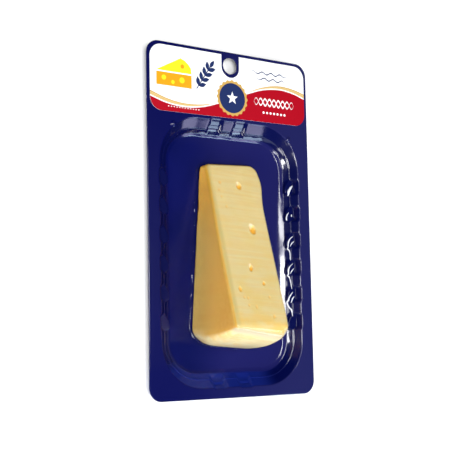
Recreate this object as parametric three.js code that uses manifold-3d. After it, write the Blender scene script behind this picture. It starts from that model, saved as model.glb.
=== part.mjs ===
// A wedge of Gouda-type cheese sealed in its retail skin pack: a navy thermoformed tray with a
// hang hole, the cheese lying on the floor of the tray's well, a clear skin film drawn tight over
// the cheese, and a printed header label. Millimetres, +Z up. The pack lies on the flat underside
// of its well: +X is the pack's right, +Y points to the header, +Z out of the pack's face.
// The origin is at the middle of the pack's outline, level with the underside of the well.

import * as THREE from 'three';
import { mergeVertices } from 'three/addons/utils/BufferGeometryUtils.js';
import Module from 'manifold-3d';

// ---------------------------------------------------------------- driving dimensions

const SHEET = 0.8; // thickness of the tray's sheet
const FIT_GAP = 0.15; // clearance between pieces that touch

const PACK = { width: 130, height: 233, corner: 9 };

const WELL = {
  halfWidth: 55.5,
  top: 68.2, // y of the rim at the header end
  bottom: -109.3, // y of the rim at the foot end
  corner: 30,
  depth: 8, // from the flange's face down to the floor
  widerAtTop: 2.1, // how much further the ledge stands in from the rim at the header end
  widerAtBottom: 1.0,
};

const FLOOR_TOP = SHEET;
const FLANGE_TOP = SHEET + WELL.depth;

// Section of the well's wall on its long sides: inset from the rim and depth under the flange's
// face. "lug" is how far a stacking lug pushes the point inwards, "pocket" how far its pocket
// pushes it out, both as shares of the full amounts below.
const WALL = [
  { inset: -2.4, depth: 0.0, pocket: 1.0, lug: 0.0 },
  { inset: -1.0, depth: 0.0, pocket: 1.0, lug: 0.0 },
  { inset: -0.2, depth: 0.12, pocket: 1.0, lug: 0.0 },
  { inset: 0.45, depth: 0.62, pocket: 1.0, lug: 0.0 },
  { inset: 3.5, depth: 3.65, pocket: 1.8, lug: 0.0 },
  { inset: 4.05, depth: 4.12, pocket: 1.6, lug: 0.1 },
  { inset: 4.55, depth: 4.27, pocket: 0.0, lug: 1.0 },
  { inset: 4.95, depth: 4.5, pocket: 0.0, lug: 1.0 },
  { inset: 6.8, depth: 6.1, pocket: 0.0, lug: 0.4 },
  { inset: 8.1, depth: 7.0, pocket: 0.0, lug: 0.05 },
  { inset: 10.6, depth: 7.5, pocket: 0.0, lug: 0.0 },
  { inset: 14.0, depth: 8.0, pocket: 0.0, lug: 0.0 },
];
const WALL_UNDERSIDE = [1, 3, 5, 7, 9, 11]; // points of the section that the underside follows
const LEDGE_START = 4; // from this point on, the header end's wall stands further in

const LUG = {
  halfLength: 4.7, // half the length of a pocket along the wall
  blend: 1.5, // length over which the pocket's edge rounds into the wall
  pocketDepth: 1.3, // how far the pocket recedes from the rim
  reach: 2.8, // how far the lug stands into the well
  sidePitch: 18.8,
  sideFirst: 27.5, // y of the lugs nearest the header
  sideCount: 6,
  topPlaces: [-11.5, 8.0], // x of the lugs in the header end's wall
  bottomPlaces: [-12.0, 8.6], // x of the lugs in the foot end's wall
};

const HANG_HOLE = { y: 107, radius: 5.6, segments: 36 };

// Small domes beside the well's corners at the header end.
const PIP = {
  radius: 1.5,
  rise: 0.8,
  sunk: 0.05, // below the flange's face
  places: [
    { x: -45.4, y: 62.3 },
    { x: 48.2, y: 60.6 },
  ],
};

const LABEL = {
  halfWidth: 62.7,
  top: 114.2,
  bottom: 70.6,
  corner: 8.5,
  thickness: 0.25,
  notchHalfWidth: 7.2, // the slot that clears the hang hole
  notchBottom: 98.7,
};

// The cheese is a sector cut from a low wheel. It lies on one cut face, with the wheel's axis
// across the pack and its tip end cut off.
const CHEESE = {
  wheelRadius: 137.7,
  tipRadius: 14.9, // where the tip was cut off
  width: 42.6,
  angle: THREE.MathUtils.degToRad(22.5),
  axis: { x: 0.8, y: 53.6 }, // where the wheel's axis stands over the floor
  turn: THREE.MathUtils.degToRad(-3.95),
  tipSlant: 2.6, // how much longer the right-hand side is at the tip end than the middle
  rindSlant: 0.5, // the same at the rind end
  lean: 0.015, // how far the sides lean in, for each millimetre of height
  frontRound: 2.4, // rounding of the edges of the upper cut face
  endRound: 8, // the same where the rind end meets the right-hand side
  endBulge: 2, // how far the rind end's right-hand side swells out
  tipLean: 2.2, // how far the left-hand side leans in at the tip
  baseRound: 0.8,
  rindTuck: { height: 14, depth: 2.2 }, // the rind end draws in towards its foot
  bulge: { at: 30, spread: 11, reach: 2.6 }, // a soft bump on the right-hand side near the tip
};
// Radii of the four upright corners in plan, at the base and at the upper face.
const CHEESE_CORNERS = {
  tipLeft: { base: 2.5, face: 2.5 },
  tipRight: { base: 6, face: 6 },
  rindLeft: { base: 12, face: 3 },
  rindRight: { base: 6, face: 6 },
};
const CORNER_GROWTH = 1.5; // power by which a corner's radius changes with height
const RIND_TUCK_FROM = 0.9; // share of the wheel's radius from which the rind end draws in
const TIP_LEAN_TO = 85; // radius at which the left-hand side's lean has faded out
const SWELL_FROM = THREE.MathUtils.degToRad(4); // the rind end swells between these angles
const SWELL_TO = THREE.MathUtils.degToRad(16);

// Eyes in the upper cut face: distance from the wheel's axis, place across, length and width.
const EYES = [
  { radius: 32.2, across: 3.5, length: 4.8, width: 3.8, depth: 1.3 },
  { radius: 65.1, across: 7.3, length: 6.4, width: 4.6, depth: 1.8 },
  { radius: 94.3, across: -0.8, length: 4.4, width: 2.6, depth: 1.1 },
  { radius: 104.6, across: 7.2, length: 2.8, width: 2.0, depth: 0.8 },
  { radius: 110.3, across: -12.8, length: 3.6, width: 2.4, depth: 0.6 },
];

const FILM = {
  thickness: 0.2,
  gap: 0.2, // between the film and the cheese
  footReach: 5.0, // where the film's foot ends on the floor, out from the cheese
  footBend: 1.8, // where it leaves the floor
};

// Facets of the curved shapes.
const LUG_STATIONS = [-1.12, -0.84, -0.45, 0, 0.45, 0.84, 1.12]; // in half lengths of a lug
const SEGMENTS = {
  wellCorner: 9,
  packCorner: 10,
  labelCorner: 10,
  pip: { around: 10, down: 6 },
  wedge: { corner: 6, long: 18, end: 6, round: 3, upright: 4 },
  eye: { around: 12, down: 6 },
};

// ---------------------------------------------------------------- finishes

const finish = (name, color, roughness) =>
  new THREE.MeshStandardMaterial({ name, color, roughness, metalness: 0 });

const NAVY_SHEET = finish('navy_sheet', 0x16185c, 0.25);
const CHEESE_PASTE = finish('cheese_paste', 0xe8cf88, 0.45);
const LABEL_PRINT = finish('label_print', 0xf4f3f1, 0.4);
const CLEAR_FILM = new THREE.MeshStandardMaterial({
  name: 'clear_film',
  color: 0xf5f2e6,
  roughness: 0.12,
  metalness: 0,
  transparent: true,
  opacity: 0.15,
});

// ---------------------------------------------------------------- mesh helpers

/** Closed geometry from a list of [x, y, z] points and a list of triangles. */
function solidGeometry(points, triangles) {
  const geometry = new THREE.BufferGeometry();
  geometry.setAttribute('position', new THREE.Float32BufferAttribute(points.flat(), 3));
  geometry.setIndex(triangles.flat());
  geometry.computeVertexNormals();
  return geometry;
}

/** Triangles between closed rings of equal length, facing out where the rings run downwards. */
function ringTriangles(firstPoint, ringCount, count) {
  const triangles = [];
  for (let ring = 0; ring + 1 < ringCount; ring += 1) {
    for (let i = 0; i < count; i += 1) {
      const next = (i + 1) % count;
      const a = firstPoint + ring * count + i;
      const b = firstPoint + ring * count + next;
      const c = a + count;
      const d = b + count;
      triangles.push([a, d, b], [a, c, d]);
    }
  }
  return triangles;
}

/** Closes a ring by a fan round its middle, facing up or down, and adds the middle to points. */
function fanTriangles(points, firstPoint, count, upwards) {
  const ring = points.slice(firstPoint, firstPoint + count);
  points.push([0, 1, 2].map((k) => ring.reduce((sum, point) => sum + point[k], 0) / count));
  const middle = points.length - 1;
  return ring.map((_, i) => {
    const a = firstPoint + i;
    const b = firstPoint + ((i + 1) % count);
    return upwards ? [a, b, middle] : [b, a, middle];
  });
}

/**
 * Closed skin through rings of equal length, listed from the top of the body down one side.
 * Rings run counter-clockwise as seen from above, and a fan closes each end.
 */
function skinRings(rings) {
  const count = rings[0].length;
  const points = rings.flat();
  const triangles = ringTriangles(0, rings.length, count);
  triangles.push(...fanTriangles(points, 0, count, true));
  triangles.push(...fanTriangles(points, (rings.length - 1) * count, count, false));
  return solidGeometry(points, triangles);
}

const wasm = await Module();
wasm.setup();

/** Manifold solid from a closed three.js geometry. */
function toManifold(geometry) {
  const bare = geometry.clone();
  bare.deleteAttribute('normal');
  bare.deleteAttribute('uv');
  const merged = mergeVertices(bare, 1e-4);
  return new wasm.Manifold(
    new wasm.Mesh({
      numProp: 3,
      vertProperties: new Float32Array(merged.attributes.position.array),
      triVerts: new Uint32Array(merged.index.array),
    }),
  );
}

/** three.js geometry from a manifold solid. */
function fromManifold(solid) {
  const mesh = solid.getMesh();
  const geometry = new THREE.BufferGeometry();
  geometry.setAttribute('position', new THREE.Float32BufferAttribute(mesh.vertProperties, 3));
  geometry.setIndex(Array.from(mesh.triVerts));
  geometry.computeVertexNormals();
  return geometry;
}

function namedMesh(name, geometry, material) {
  const mesh = new THREE.Mesh(geometry, material);
  mesh.name = name;
  return mesh;
}

// ---------------------------------------------------------------- outlines

const smoothStep = (low, high, value) => THREE.MathUtils.smoothstep(value, low, high);
const lerp = THREE.MathUtils.lerp;

/**
 * Point of a rounded rectangle at a station: side 0 to 3 and a share along it, or the corner
 * that follows that side. Stations run counter-clockwise from the foot of the right-hand side.
 */
function roundedRectanglePoint(box, station) {
  const { right, left, top, bottom, corner } = box;
  const starts = [
    [right, bottom + corner],
    [right - corner, top],
    [left, top - corner],
    [left + corner, bottom],
  ];
  const ends = [
    [right, top - corner],
    [left + corner, top],
    [left, bottom + corner],
    [right - corner, bottom],
  ];
  const centres = [
    [right - corner, top - corner],
    [left + corner, top - corner],
    [left + corner, bottom + corner],
    [right - corner, bottom + corner],
  ];
  const startAngle = station.side * (Math.PI / 2);
  if (station.onCorner) {
    const angle = startAngle + station.share * (Math.PI / 2);
    const centre = centres[station.side];
    const normal = [Math.cos(angle), Math.sin(angle)];
    return { x: centre[0] + corner * normal[0], y: centre[1] + corner * normal[1], normal };
  }
  const from = starts[station.side];
  const to = ends[station.side];
  return {
    x: lerp(from[0], to[0], station.share),
    y: lerp(from[1], to[1], station.share),
    normal: [Math.cos(startAngle), Math.sin(startAngle)],
  };
}

const WELL_BOX = {
  right: WELL.halfWidth,
  left: -WELL.halfWidth,
  top: WELL.top,
  bottom: WELL.bottom,
  corner: WELL.corner,
};
const PACK_BOX = {
  right: PACK.width / 2,
  left: -PACK.width / 2,
  top: PACK.height / 2,
  bottom: -PACK.height / 2,
  corner: PACK.corner,
};

/** Middles of the stacking lugs on each side of the well, as places along that side. */
function lugPlaces(side) {
  if (side === 1) return LUG.topPlaces;
  if (side === 3) return LUG.bottomPlaces;
  return Array.from({ length: LUG.sideCount }, (_, k) => LUG.sideFirst - k * LUG.sidePitch);
}

/** Stations round the well: close together at the lugs, wider apart elsewhere. */
function wellStations() {
  const stations = [];
  for (let side = 0; side < 4; side += 1) {
    const onLongSide = side % 2 === 0;
    const from = onLongSide ? WELL.bottom + WELL.corner : WELL.corner - WELL.halfWidth;
    const to = onLongSide ? WELL.top - WELL.corner : WELL.halfWidth - WELL.corner;
    const runsForwards = side === 0 || side === 3;
    const shares = lugPlaces(side).flatMap((middle) =>
      LUG_STATIONS.map((offset) => {
        const share = (middle + offset * LUG.halfLength - from) / (to - from);
        return runsForwards ? share : 1 - share;
      }),
    );
    shares.sort((a, b) => a - b);
    for (const share of [0, ...shares]) stations.push({ side, share, onCorner: false });
    for (let i = 0; i < SEGMENTS.wellCorner; i += 1) {
      stations.push({ side, share: i / SEGMENTS.wellCorner, onCorner: true });
    }
  }
  return stations;
}

/** How strongly a lug and its pocket act at a point of the rim, each from 0 to 1. */
function lugStrength(station, point) {
  if (station.onCorner) return { pocket: 0, lug: 0 };
  const place = station.side % 2 === 0 ? point.y : point.x;
  const distance = Math.min(...lugPlaces(station.side).map((middle) => Math.abs(place - middle)));
  const half = LUG.halfLength;
  return {
    pocket: 1 - smoothStep(half - LUG.blend / 2, half + LUG.blend / 2, distance),
    lug: distance < half ? Math.sqrt(1 - (distance / half) ** 2) : 0,
  };
}

/** One ring of the well's wall, lowered and set outwards by the sheet on its underside. */
function wallRing(stations, index, underside) {
  const step = WALL[index];
  const previous = WALL[Math.max(index - 1, 0)];
  const next = WALL[Math.min(index + 1, WALL.length - 1)];
  const run = next.inset - previous.inset;
  const fall = next.depth - previous.depth;
  const slant = Math.hypot(run, fall);
  const isFlat = index === 0 || index === WALL.length - 1;
  const shiftOut = underside && !isFlat ? (SHEET * fall) / slant : 0;
  const shiftDown = underside ? (isFlat ? SHEET : (SHEET * run) / slant) : 0;
  const z = FLANGE_TOP - step.depth - shiftDown;
  return stations.map((station) => {
    const rim = roundedRectanglePoint(WELL_BOX, station);
    const strength = lugStrength(station, rim);
    const upward = Math.max(rim.normal[1], 0) ** 2;
    const downward = Math.max(-rim.normal[1], 0) ** 2;
    const wider = index >= LEDGE_START ? WELL.widerAtTop * upward + WELL.widerAtBottom * downward : 0;
    const lug = step.lug * LUG.reach * strength.lug;
    const pocket = step.pocket * LUG.pocketDepth * strength.pocket;
    const inset = step.inset + wider + lug - pocket - shiftOut;
    return [rim.x - rim.normal[0] * inset, rim.y - rim.normal[1] * inset, z];
  });
}

/** The pack's outer edge at a height. */
function packOutline(z) {
  const outline = [];
  for (let side = 0; side < 4; side += 1) {
    for (let i = 0; i <= SEGMENTS.packCorner; i += 1) {
      const station = { side, share: i / SEGMENTS.packCorner, onCorner: true };
      const point = roundedRectanglePoint(PACK_BOX, station);
      outline.push([point.x, point.y, z]);
    }
  }
  return outline;
}

/** The hang hole's edge at a height. */
function hangHoleRing(z) {
  return Array.from({ length: HANG_HOLE.segments }, (_, i) => {
    const angle = (i / HANG_HOLE.segments) * 2 * Math.PI;
    return [
      HANG_HOLE.radius * Math.cos(angle),
      HANG_HOLE.y + HANG_HOLE.radius * Math.sin(angle),
      z,
    ];
  });
}

// ---------------------------------------------------------------- tray

/** Triangles of a flat face with holes, between rings that start at the given points. */
function flatFaceTriangles(points, outlineStart, outlineCount, holes, upwards) {
  const flatten = (start, count) =>
    points.slice(start, start + count).map(([x, y]) => new THREE.Vector2(x, y));
  const holeLoops = holes.map((hole) => flatten(hole.start, hole.count));
  const indices = [outlineStart, ...holes.map((hole) => hole.start)];
  const counts = [outlineCount, ...holes.map((hole) => hole.count)];
  const order = indices.flatMap((start, k) => Array.from({ length: counts[k] }, (_, i) => start + i));
  const faces = THREE.ShapeUtils.triangulateShape(flatten(outlineStart, outlineCount), holeLoops);
  return faces.map(([a, b, c]) => {
    const [p, q, r] = [order[a], order[b], order[c]];
    const turn =
      (points[q][0] - points[p][0]) * (points[r][1] - points[p][1]) -
      (points[q][1] - points[p][1]) * (points[r][0] - points[p][0]);
    return turn > 0 === upwards ? [p, q, r] : [p, r, q];
  });
}

/** The tray: a flange with the hang hole, and the well hanging from it, as one thin sheet. */
function trayGeometry() {
  const stations = wellStations();
  const upper = WALL.map((_, index) => wallRing(stations, index, false)).reverse();
  const lower = WALL_UNDERSIDE.map((index) => wallRing(stations, index, true));
  const wellCount = stations.length;
  const points = [];
  const triangles = [];
  const addRings = (rings) => {
    const start = points.length;
    points.push(...rings.flat());
    triangles.push(...ringTriangles(start, rings.length, rings[0].length));
    return start;
  };

  const upperFloor = addRings(upper);
  const upperRim = upperFloor + (upper.length - 1) * wellCount;
  const lowerRim = addRings(lower);
  const lowerFloor = lowerRim + (lower.length - 1) * wellCount;
  triangles.push(...fanTriangles(points, upperFloor, wellCount, true));
  triangles.push(...fanTriangles(points, lowerFloor, wellCount, false));

  const heights = [FLANGE_TOP, FLANGE_TOP - SHEET];
  const outlineStart = addRings(heights.map(packOutline));
  const outlineCount = packOutline(0).length;
  const holeStart = addRings([...heights].reverse().map(hangHoleRing));
  const holeCount = HANG_HOLE.segments;
  const upperHoles = [
    { start: upperRim, count: wellCount },
    { start: holeStart + holeCount, count: holeCount },
  ];
  const lowerHoles = [
    { start: lowerRim, count: wellCount },
    { start: holeStart, count: holeCount },
  ];
  triangles.push(...flatFaceTriangles(points, outlineStart, outlineCount, upperHoles, true));
  const lowerOutline = outlineStart + outlineCount;
  triangles.push(...flatFaceTriangles(points, lowerOutline, outlineCount, lowerHoles, false));
  let tray = toManifold(solidGeometry(points, triangles));

  for (const { x, y } of PIP.places) {
    const pip = new THREE.SphereGeometry(PIP.radius, SEGMENTS.pip.around, SEGMENTS.pip.down);
    pip.rotateX(Math.PI / 2);
    pip.scale(1, 1, PIP.rise / PIP.radius);
    pip.translate(x, y, FLANGE_TOP - PIP.sunk);
    tray = tray.add(toManifold(pip));
  }
  return fromManifold(tray);
}

// ---------------------------------------------------------------- cheese and its film

/**
 * Outline of the wedge in plan, in (across, radius) of the wheel: counter-clockwise seen from
 * above, at a share of the height from 0 at the base to 1 at the upper face.
 */
function wedgeOutline(heightShare, grow) {
  const { corner, long, end } = SEGMENTS.wedge;
  const half = CHEESE.width / 2 + grow;
  const near = CHEESE.tipRadius - grow;
  const far = CHEESE.wheelRadius + grow;
  const radiusOf = (name) => {
    const { base, face } = CHEESE_CORNERS[name];
    return Math.max(lerp(base, face, heightShare ** CORNER_GROWTH) + grow, 0.3);
  };
  // Corners in order: tip right, tip left, rind left, rind right, with "up" meaning the tip.
  const corners = [
    { name: 'tipRight', across: half, radius: near, inwards: [-1, 1], steps: end },
    { name: 'tipLeft', across: -half, radius: near, inwards: [1, 1], steps: long },
    { name: 'rindLeft', across: -half, radius: far, inwards: [1, -1], steps: end },
    { name: 'rindRight', across: half, radius: far, inwards: [-1, -1], steps: long },
  ];
  const arcs = corners.map((item, k) => {
    const round = radiusOf(item.name);
    const centre = [item.across + item.inwards[0] * round, item.radius + item.inwards[1] * round];
    return Array.from({ length: corner + 1 }, (_, i) => {
      const angle = (k + i / corner) * (Math.PI / 2);
      return [centre[0] + round * Math.cos(angle), centre[1] - round * Math.sin(angle)];
    });
  });
  const outline = [];
  arcs.forEach((arc, k) => {
    outline.push(...arc);
    const from = arc[corner];
    const to = arcs[(k + 1) % 4][0];
    const steps = corners[k].steps;
    for (let i = 1; i < steps; i += 1) {
      outline.push([lerp(from[0], to[0], i / steps), lerp(from[1], to[1], i / steps)]);
    }
  });
  const { at, spread, reach } = CHEESE.bulge;
  return outline.map(([across, radius]) => {
    const sideShare = across / half;
    const lengthShare = (radius - near) / (far - near);
    const slant = CHEESE.rindSlant * lengthShare - CHEESE.tipSlant * (1 - lengthShare);
    const bump = reach * Math.max(sideShare, 0) ** 4 * Math.exp(-(((radius - at) / spread) ** 2));
    return [across + bump, radius + slant * sideShare];
  });
}

/** Point of the wedge from its place across, its radius, and its angle over the base. */
function wedgePoint(across, radius, angle) {
  const height = radius * Math.sin(angle);
  const { height: tuckHeight, depth } = CHEESE.rindTuck;
  const lowness = Math.max(1 - height / tuckHeight, 0) ** 2;
  const nearRind = smoothStep(RIND_TUCK_FROM, 1, radius / CHEESE.wheelRadius);
  const sideShare = (2 * across) / CHEESE.width;
  const nearTip = 1 - smoothStep(CHEESE.tipRadius, TIP_LEAN_TO, radius);
  const upness = Math.max(angle, 0) / CHEESE.angle;
  const tipLean = CHEESE.tipLean * nearTip * upness * (1 - smoothStep(-1, 0.3, sideShare));
  const leaned = across * (1 - (2 * CHEESE.lean * height) / CHEESE.width) + tipLean;
  const swell = smoothStep(SWELL_FROM, SWELL_TO, angle) * smoothStep(-1, 1, sideShare);
  const bulged = radius + CHEESE.endBulge * nearRind * swell;
  return [leaned, -bulged * Math.cos(angle) + depth * lowness * nearRind, bulged * Math.sin(angle)];
}

/** Steps of a quarter-round, as shares of its radius: how far in, and how far down. */
function quarterRound() {
  return Array.from({ length: SEGMENTS.wedge.round + 1 }, (_, i) => {
    const angle = (i / SEGMENTS.wedge.round) * (Math.PI / 2);
    return { inward: 1 - Math.sin(angle), downward: 1 - Math.cos(angle) };
  });
}

/** Radius of the rounding of the upper face's edge: broad where the rind end turns right. */
function faceRounding(across, radius) {
  const atEnd = smoothStep(CHEESE.wheelRadius - 6, CHEESE.wheelRadius - 1, radius);
  const toRight = smoothStep(-1.1, 1, (2 * across) / CHEESE.width);
  return lerp(CHEESE.frontRound, CHEESE.endRound, atEnd * toRight);
}

/** Rings of the rounding round the upper face, from the face outwards. */
function faceRings(grow) {
  const rims = wedgeOutline(1, grow);
  return quarterRound().map(({ inward, downward }) => {
    const narrow = wedgeOutline(1, grow - CHEESE.frontRound * inward);
    const broad = wedgeOutline(1, grow - CHEESE.endRound * inward);
    return rims.map(([rimAcross, rimRadius], i) => {
      const rounding = faceRounding(rimAcross, rimRadius);
      const share = (rounding - CHEESE.frontRound) / (CHEESE.endRound - CHEESE.frontRound);
      const across = lerp(narrow[i][0], broad[i][0], share);
      const radius = lerp(narrow[i][1], broad[i][1], share);
      const underFace = rounding * downward - grow;
      return wedgePoint(across, radius, CHEESE.angle - underFace / radius);
    });
  });
}

/** Rings of the upright sides, from under the rounding down to over the base. */
function sideRings(grow) {
  const { upright } = SEGMENTS.wedge;
  return Array.from({ length: upright - 1 }, (_, i) => {
    const share = 1 - (i + 1) / upright;
    return wedgeOutline(share, grow).map(([across, radius]) => {
      const highest = CHEESE.angle - (faceRounding(across, radius) - grow) / radius;
      return wedgePoint(across, radius, highest * share);
    });
  });
}

/** Ring of the wedge's foot, drawn out by "grow" at a height over the base. */
function footRing(grow, height) {
  return wedgeOutline(0, grow).map(([across, radius]) => wedgePoint(across, radius, height / radius));
}

function cheeseGeometry() {
  const round = CHEESE.baseRound;
  const base = quarterRound()
    .reverse()
    .map(({ inward, downward }) => footRing(-round * inward, round * downward));
  let cheese = toManifold(skinRings([...faceRings(0), ...sideRings(0), ...base]));
  for (const eye of EYES) {
    const hollow = new THREE.SphereGeometry(1, SEGMENTS.eye.around, SEGMENTS.eye.down);
    hollow.rotateX(Math.PI / 2);
    hollow.scale(eye.width / 2, eye.length / 2, eye.depth);
    hollow.rotateX(-CHEESE.angle);
    const middle = wedgePoint(eye.across, eye.radius, CHEESE.angle);
    hollow.translate(...middle);
    cheese = cheese.subtract(toManifold(hollow));
  }
  return fromManifold(cheese);
}

function filmGeometry() {
  const floor = FIT_GAP - FILM.gap;
  const skin = (grow, footHeight) => {
    const foot = [FILM.footBend, FILM.footReach].map((reach) => footRing(grow + reach, footHeight));
    return [...faceRings(grow), ...sideRings(grow), ...foot];
  };
  const outer = skin(FILM.gap + FILM.thickness, floor + FILM.thickness);
  const inner = skin(FILM.gap, floor).reverse();
  return skinRings([...outer, ...inner]);
}

// ---------------------------------------------------------------- label

function labelGeometry() {
  const { halfWidth, top, bottom, corner, notchHalfWidth, notchBottom } = LABEL;
  const outline = new THREE.Shape();
  outline.moveTo(halfWidth, bottom + corner);
  outline.absarc(halfWidth - corner, top - corner, corner, 0, Math.PI / 2, false);
  outline.lineTo(notchHalfWidth, top);
  outline.absarc(0, notchBottom + notchHalfWidth, notchHalfWidth, 0, -Math.PI, true);
  outline.lineTo(-notchHalfWidth, top);
  outline.absarc(-halfWidth + corner, top - corner, corner, Math.PI / 2, Math.PI, false);
  outline.absarc(-halfWidth + corner, bottom + corner, corner, Math.PI, Math.PI * 1.5, false);
  outline.absarc(halfWidth - corner, bottom + corner, corner, Math.PI * 1.5, Math.PI * 2, false);
  return new THREE.ExtrudeGeometry(outline, {
    depth: LABEL.thickness,
    bevelEnabled: false,
    curveSegments: SEGMENTS.labelCorner,
  });
}

// ---------------------------------------------------------------- the packed cheese

const pack = new THREE.Group();
pack.add(namedMesh('tray', trayGeometry(), NAVY_SHEET));

const label = namedMesh('label', labelGeometry(), LABEL_PRINT);
label.position.z = FLANGE_TOP + FIT_GAP;
pack.add(label);

const contents = new THREE.Group();
contents.position.set(CHEESE.axis.x, CHEESE.axis.y, FLOOR_TOP + FILM.gap);
contents.rotation.z = CHEESE.turn;
contents.add(namedMesh('cheese', cheeseGeometry(), CHEESE_PASTE));
contents.add(namedMesh('film', filmGeometry(), CLEAR_FILM));
pack.add(contents);

export default pack;
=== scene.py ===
"""Dressing of a packed cheese wedge.

A wedge of firm yellow cheese lies in the shallow well of a navy formed tray, sealed under clear
film, with a printed header above it. Sizes in the classes are millimetres, in the frame of the
tray: +X to its right, +Y to the header, +Z out of its face.
"""

import logging
import math
from collections.abc import Sequence
from dataclasses import dataclass, field, replace
from enum import Enum

import bmesh
import bpy
from mathutils import Matrix, Vector, noise

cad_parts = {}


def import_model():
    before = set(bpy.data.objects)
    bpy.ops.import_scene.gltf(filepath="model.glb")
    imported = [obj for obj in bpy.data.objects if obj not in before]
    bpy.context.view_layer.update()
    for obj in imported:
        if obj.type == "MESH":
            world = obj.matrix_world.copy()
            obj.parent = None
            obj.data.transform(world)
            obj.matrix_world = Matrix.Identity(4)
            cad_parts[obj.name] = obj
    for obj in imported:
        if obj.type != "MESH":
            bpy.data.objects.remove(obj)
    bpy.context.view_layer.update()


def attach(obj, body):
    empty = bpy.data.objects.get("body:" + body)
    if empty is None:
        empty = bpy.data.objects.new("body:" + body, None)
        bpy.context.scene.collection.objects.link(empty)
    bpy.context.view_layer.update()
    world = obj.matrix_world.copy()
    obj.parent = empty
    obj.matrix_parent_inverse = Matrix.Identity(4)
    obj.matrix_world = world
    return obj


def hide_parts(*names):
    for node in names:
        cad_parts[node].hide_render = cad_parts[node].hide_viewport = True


MM = 0.001
log = logging.getLogger("packed_cheese")

Ring = list[Vector]
Flat = tuple[float, float]
Point = tuple[float, float, float]
Colour = tuple[float, float, float, float]
Socket = bpy.types.NodeSocket


# ------------------------------------------------------------------ small sums


def mix(low: float, high: float, share: float) -> float:
    """Value at a share of the way from low to high."""
    return low + (high - low) * share


def smooth_step(low: float, high: float, value: float) -> float:
    """Soft step from 0 at low to 1 at high."""
    share = min(max((value - low) / (high - low), 0.0), 1.0)
    return share * share * (3.0 - 2.0 * share)


def curve_through(knots: Sequence[Flat], x: float) -> float:
    """Height at x of a smooth curve through knots.

    Args:
        knots: Points in order of their first coordinate.
        x: Where the curve is read. It is held at the first and last knot.

    Returns:
        The curve's second coordinate at x.
    """
    x = min(max(x, knots[0][0]), knots[-1][0])
    last = len(knots) - 2
    i = next((k for k in range(last + 1) if x <= knots[k + 1][0]), last)
    (x0, y0), (x1, y1) = knots[i], knots[i + 1]
    before, after = knots[max(i - 1, 0)], knots[min(i + 2, last + 1)]
    slope0 = (y1 - before[1]) / (x1 - before[0])
    slope1 = (after[1] - y0) / (after[0] - x0)
    run = x1 - x0
    t = (x - x0) / run
    rise = (2 * t**3 - 3 * t**2 + 1) * y0 + (t**3 - 2 * t**2 + t) * run * slope0
    return rise + (-2 * t**3 + 3 * t**2) * y1 + (t**3 - t**2) * run * slope1


def arc(middle: Flat, radius: float, start: float, end: float, count: int) -> list[Flat]:
    """Points along an arc, both ends included.

    Args:
        middle: The arc's middle.
        radius: Its radius.
        start: Its first angle, in quarter turns from +X.
        end: Its last angle, in quarter turns.
        count: How many equal steps it has.

    Returns:
        The points in order.
    """
    angles = [mix(start, end, k / count) * math.pi / 2 for k in range(count + 1)]
    return [(middle[0] + radius * math.cos(a), middle[1] + radius * math.sin(a)) for a in angles]


def around(middle: Flat, radii: Sequence[float], start: float = 0.0) -> list[Flat]:
    """Closed outline round a middle.

    Args:
        middle: The outline's middle.
        radii: The distance to the middle at each of the evenly spaced points.
        start: Angle of the first point.

    Returns:
        The points, counter-clockwise.
    """
    angles = [start + k / len(radii) * 2 * math.pi for k in range(len(radii))]
    x, y = middle
    return [(x + r * math.cos(a), y + r * math.sin(a)) for a, r in zip(angles, radii)]


def at_height(outline: Sequence[Flat], height: float) -> Ring:
    """Ring of a flat outline in millimetres, at a height in millimetres."""
    return [Vector((x, y, height)) * MM for x, y in outline]


def display(red: float, green: float, blue: float) -> Colour:
    """Linear colour of a display colour.

    Args:
        red: Its red, from 0 to 255.
        green: Its green.
        blue: Its blue.

    Returns:
        The linear colour, which is opaque.
    """

    def linear(value: float) -> float:
        """Linear value of one channel."""
        share = value / 255.0
        return share / 12.92 if share <= 0.04045 else ((share + 0.055) / 1.055) ** 2.4

    return (linear(red), linear(green), linear(blue), 1.0)


# ------------------------------------------------------------------ modelling


def deselect_all() -> None:
    """Clears the selection, so that an operator acts on the new piece alone."""
    bpy.ops.object.select_all(action="DESELECT")


def pick(piece: bpy.types.Object) -> None:
    """Makes one piece the selected and active object.

    Args:
        piece: The piece.
    """
    deselect_all()
    piece.select_set(True)
    bpy.context.view_layer.objects.active = piece


def apply_modifier(piece: bpy.types.Object, kind: str, **settings: object) -> None:
    """Adds a modifier to a piece and applies it.

    Args:
        piece: The piece that it shapes.
        kind: The modifier's type.
        **settings: Values of the modifier's properties.
    """
    pick(piece)
    modifier = piece.modifiers.new(kind.title(), kind)
    for name, value in settings.items():
        setattr(modifier, name, value)
    bpy.ops.object.modifier_apply(modifier=modifier.name)


def dress(piece: bpy.types.Object, material: bpy.types.Material, degrees: float) -> None:
    """Gives a modelled piece its shading and its one material.

    Args:
        piece: The piece.
        material: Its material.
        degrees: The angle past which an edge stays sharp.
    """
    pick(piece)
    bpy.ops.object.shade_smooth_by_angle(angle=math.radians(degrees))
    piece.data.materials.clear()
    piece.data.materials.append(material)


def face_outwards(piece: bpy.types.Object) -> None:
    """Merges doubled points and turns every face outwards.

    Args:
        piece: The piece.
    """
    pick(piece)
    bpy.ops.object.mode_set(mode="EDIT")
    bpy.ops.mesh.select_all(action="SELECT")
    bpy.ops.mesh.remove_doubles(threshold=1e-6)
    bpy.ops.mesh.normals_make_consistent(inside=False)
    bpy.ops.object.mode_set(mode="OBJECT")


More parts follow.
